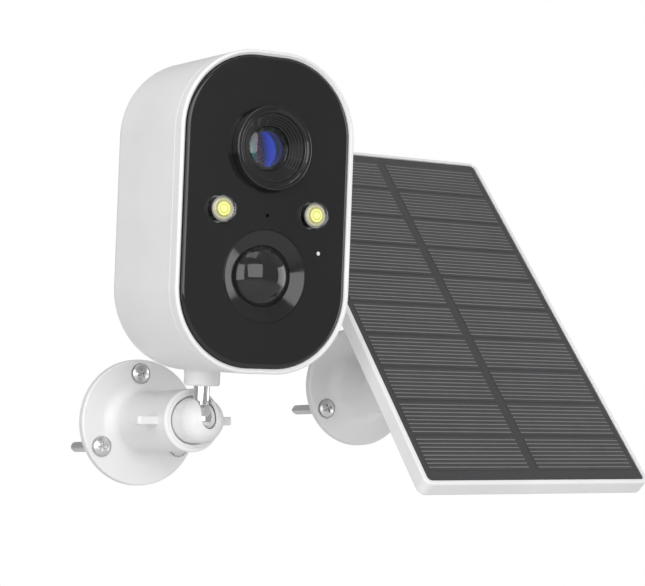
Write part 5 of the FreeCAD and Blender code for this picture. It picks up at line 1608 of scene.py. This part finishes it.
class SOLARCAM_OT_wing_nuts(bpy.types.Operator):
    """Build both rings with their wings."""
    bl_idname = "solarcam.wing_nuts"
    bl_label = "Wing Nuts"

    def execute(self, context):
        build_wing_nuts(context.scene)
        return {"FINISHED"}


class SOLARCAM_OT_clamp_caps(bpy.types.Operator):
    """Build both slotted domes."""
    bl_idname = "solarcam.clamp_caps"
    bl_label = "Clamp Caps"

    def execute(self, context):
        build_clamp_caps(context.scene)
        return {"FINISHED"}


class SOLARCAM_OT_ball_studs(bpy.types.Operator):
    """Build both chrome ball studs."""
    bl_idname = "solarcam.ball_studs"
    bl_label = "Ball Studs"

    def execute(self, context):
        build_ball_studs(context.scene)
        return {"FINISHED"}


class SOLARCAM_OT_panel_frame(bpy.types.Operator):
    """Build the frame round the solar cells."""
    bl_idname = "solarcam.panel_frame"
    bl_label = "Panel Frame"

    def execute(self, context):
        build_panel_frame(context.scene)
        return {"FINISHED"}


class SOLARCAM_OT_panel_back(bpy.types.Operator):
    """Build the rear cover with its boss and screws."""
    bl_idname = "solarcam.panel_back"
    bl_label = "Panel Back"

    def execute(self, context):
        build_panel_back(context.scene)
        return {"FINISHED"}


class SOLARCAM_OT_cells(bpy.types.Operator):
    """Build the cells and their printed fingers."""
    bl_idname = "solarcam.cells"
    bl_label = "Solar Cells"

    def execute(self, context):
        build_cells(context.scene)
        return {"FINISHED"}


class SOLARCAM_OT_junction_box(bpy.types.Operator):
    """Build the box on the panel's back and its cable gland."""
    bl_idname = "solarcam.junction_box"
    bl_label = "Junction Box"

    def execute(self, context):
        build_junction_box(context.scene)
        return {"FINISHED"}


class SOLARCAM_OT_inner_parts(bpy.types.Operator):
    """Finish the pieces inside that keep their CAD shape."""
    bl_idname = "solarcam.inner_parts"
    bl_label = "Inner Parts"

    def execute(self, context):
        finish_inner_parts(context.scene)
        return {"FINISHED"}


class SOLARCAM_OT_studio(bpy.types.Operator):
    """Set up the floor, the soft lights and the camera."""
    bl_idname = "solarcam.studio"
    bl_label = "Studio"

    def execute(self, context):
        build_studio(context.scene)
        return {"FINISHED"}


OPERATORS = (
    SOLARCAM_OT_materials,
    SOLARCAM_OT_housing,
    SOLARCAM_OT_rim,
    SOLARCAM_OT_face,
    SOLARCAM_OT_lens,
    SOLARCAM_OT_spotlights,
    SOLARCAM_OT_motion_sensor,
    SOLARCAM_OT_keys,
    SOLARCAM_OT_brackets,
    SOLARCAM_OT_wall_screws,
    SOLARCAM_OT_wing_nuts,
    SOLARCAM_OT_clamp_caps,
    SOLARCAM_OT_ball_studs,
    SOLARCAM_OT_panel_frame,
    SOLARCAM_OT_panel_back,
    SOLARCAM_OT_cells,
    SOLARCAM_OT_junction_box,
    SOLARCAM_OT_inner_parts,
    SOLARCAM_OT_studio,
)


class SOLARCAM_PT_sidebar(bpy.types.Panel):
    """Lists the sizes and colours that can be changed, and the steps in the order they are run."""
    bl_label = "Solar Camera"
    bl_idname = "SOLARCAM_PT_sidebar"
    bl_space_type = "VIEW_3D"
    bl_region_type = "UI"
    bl_category = "Solar Camera"

    def draw(self, context):
        for key in SETTINGS:
            box = self.layout.box()
            settings = getattr(context.scene, key)
            for name in settings.__annotations__:
                box.prop(settings, name)
        column = self.layout.column()
        for operator in OPERATORS:
            column.operator(operator.bl_idname)


def register():
    for kind in (*SETTINGS.values(), *OPERATORS, SOLARCAM_PT_sidebar):
        bpy.utils.register_class(kind)
    for key, kind in SETTINGS.items():
        setattr(bpy.types.Scene, key, bpy.props.PointerProperty(type=kind))


def unregister():
    for key in SETTINGS:
        delattr(bpy.types.Scene, key)
    for kind in reversed((*SETTINGS.values(), *OPERATORS, SOLARCAM_PT_sidebar)):
        bpy.utils.unregister_class(kind)


def main():
    """Register the classes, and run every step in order."""
    register()
    for operator in OPERATORS:
        getattr(bpy.ops.solarcam, operator.bl_idname.split(".")[1])()


if __name__ == "__main__":
    main()
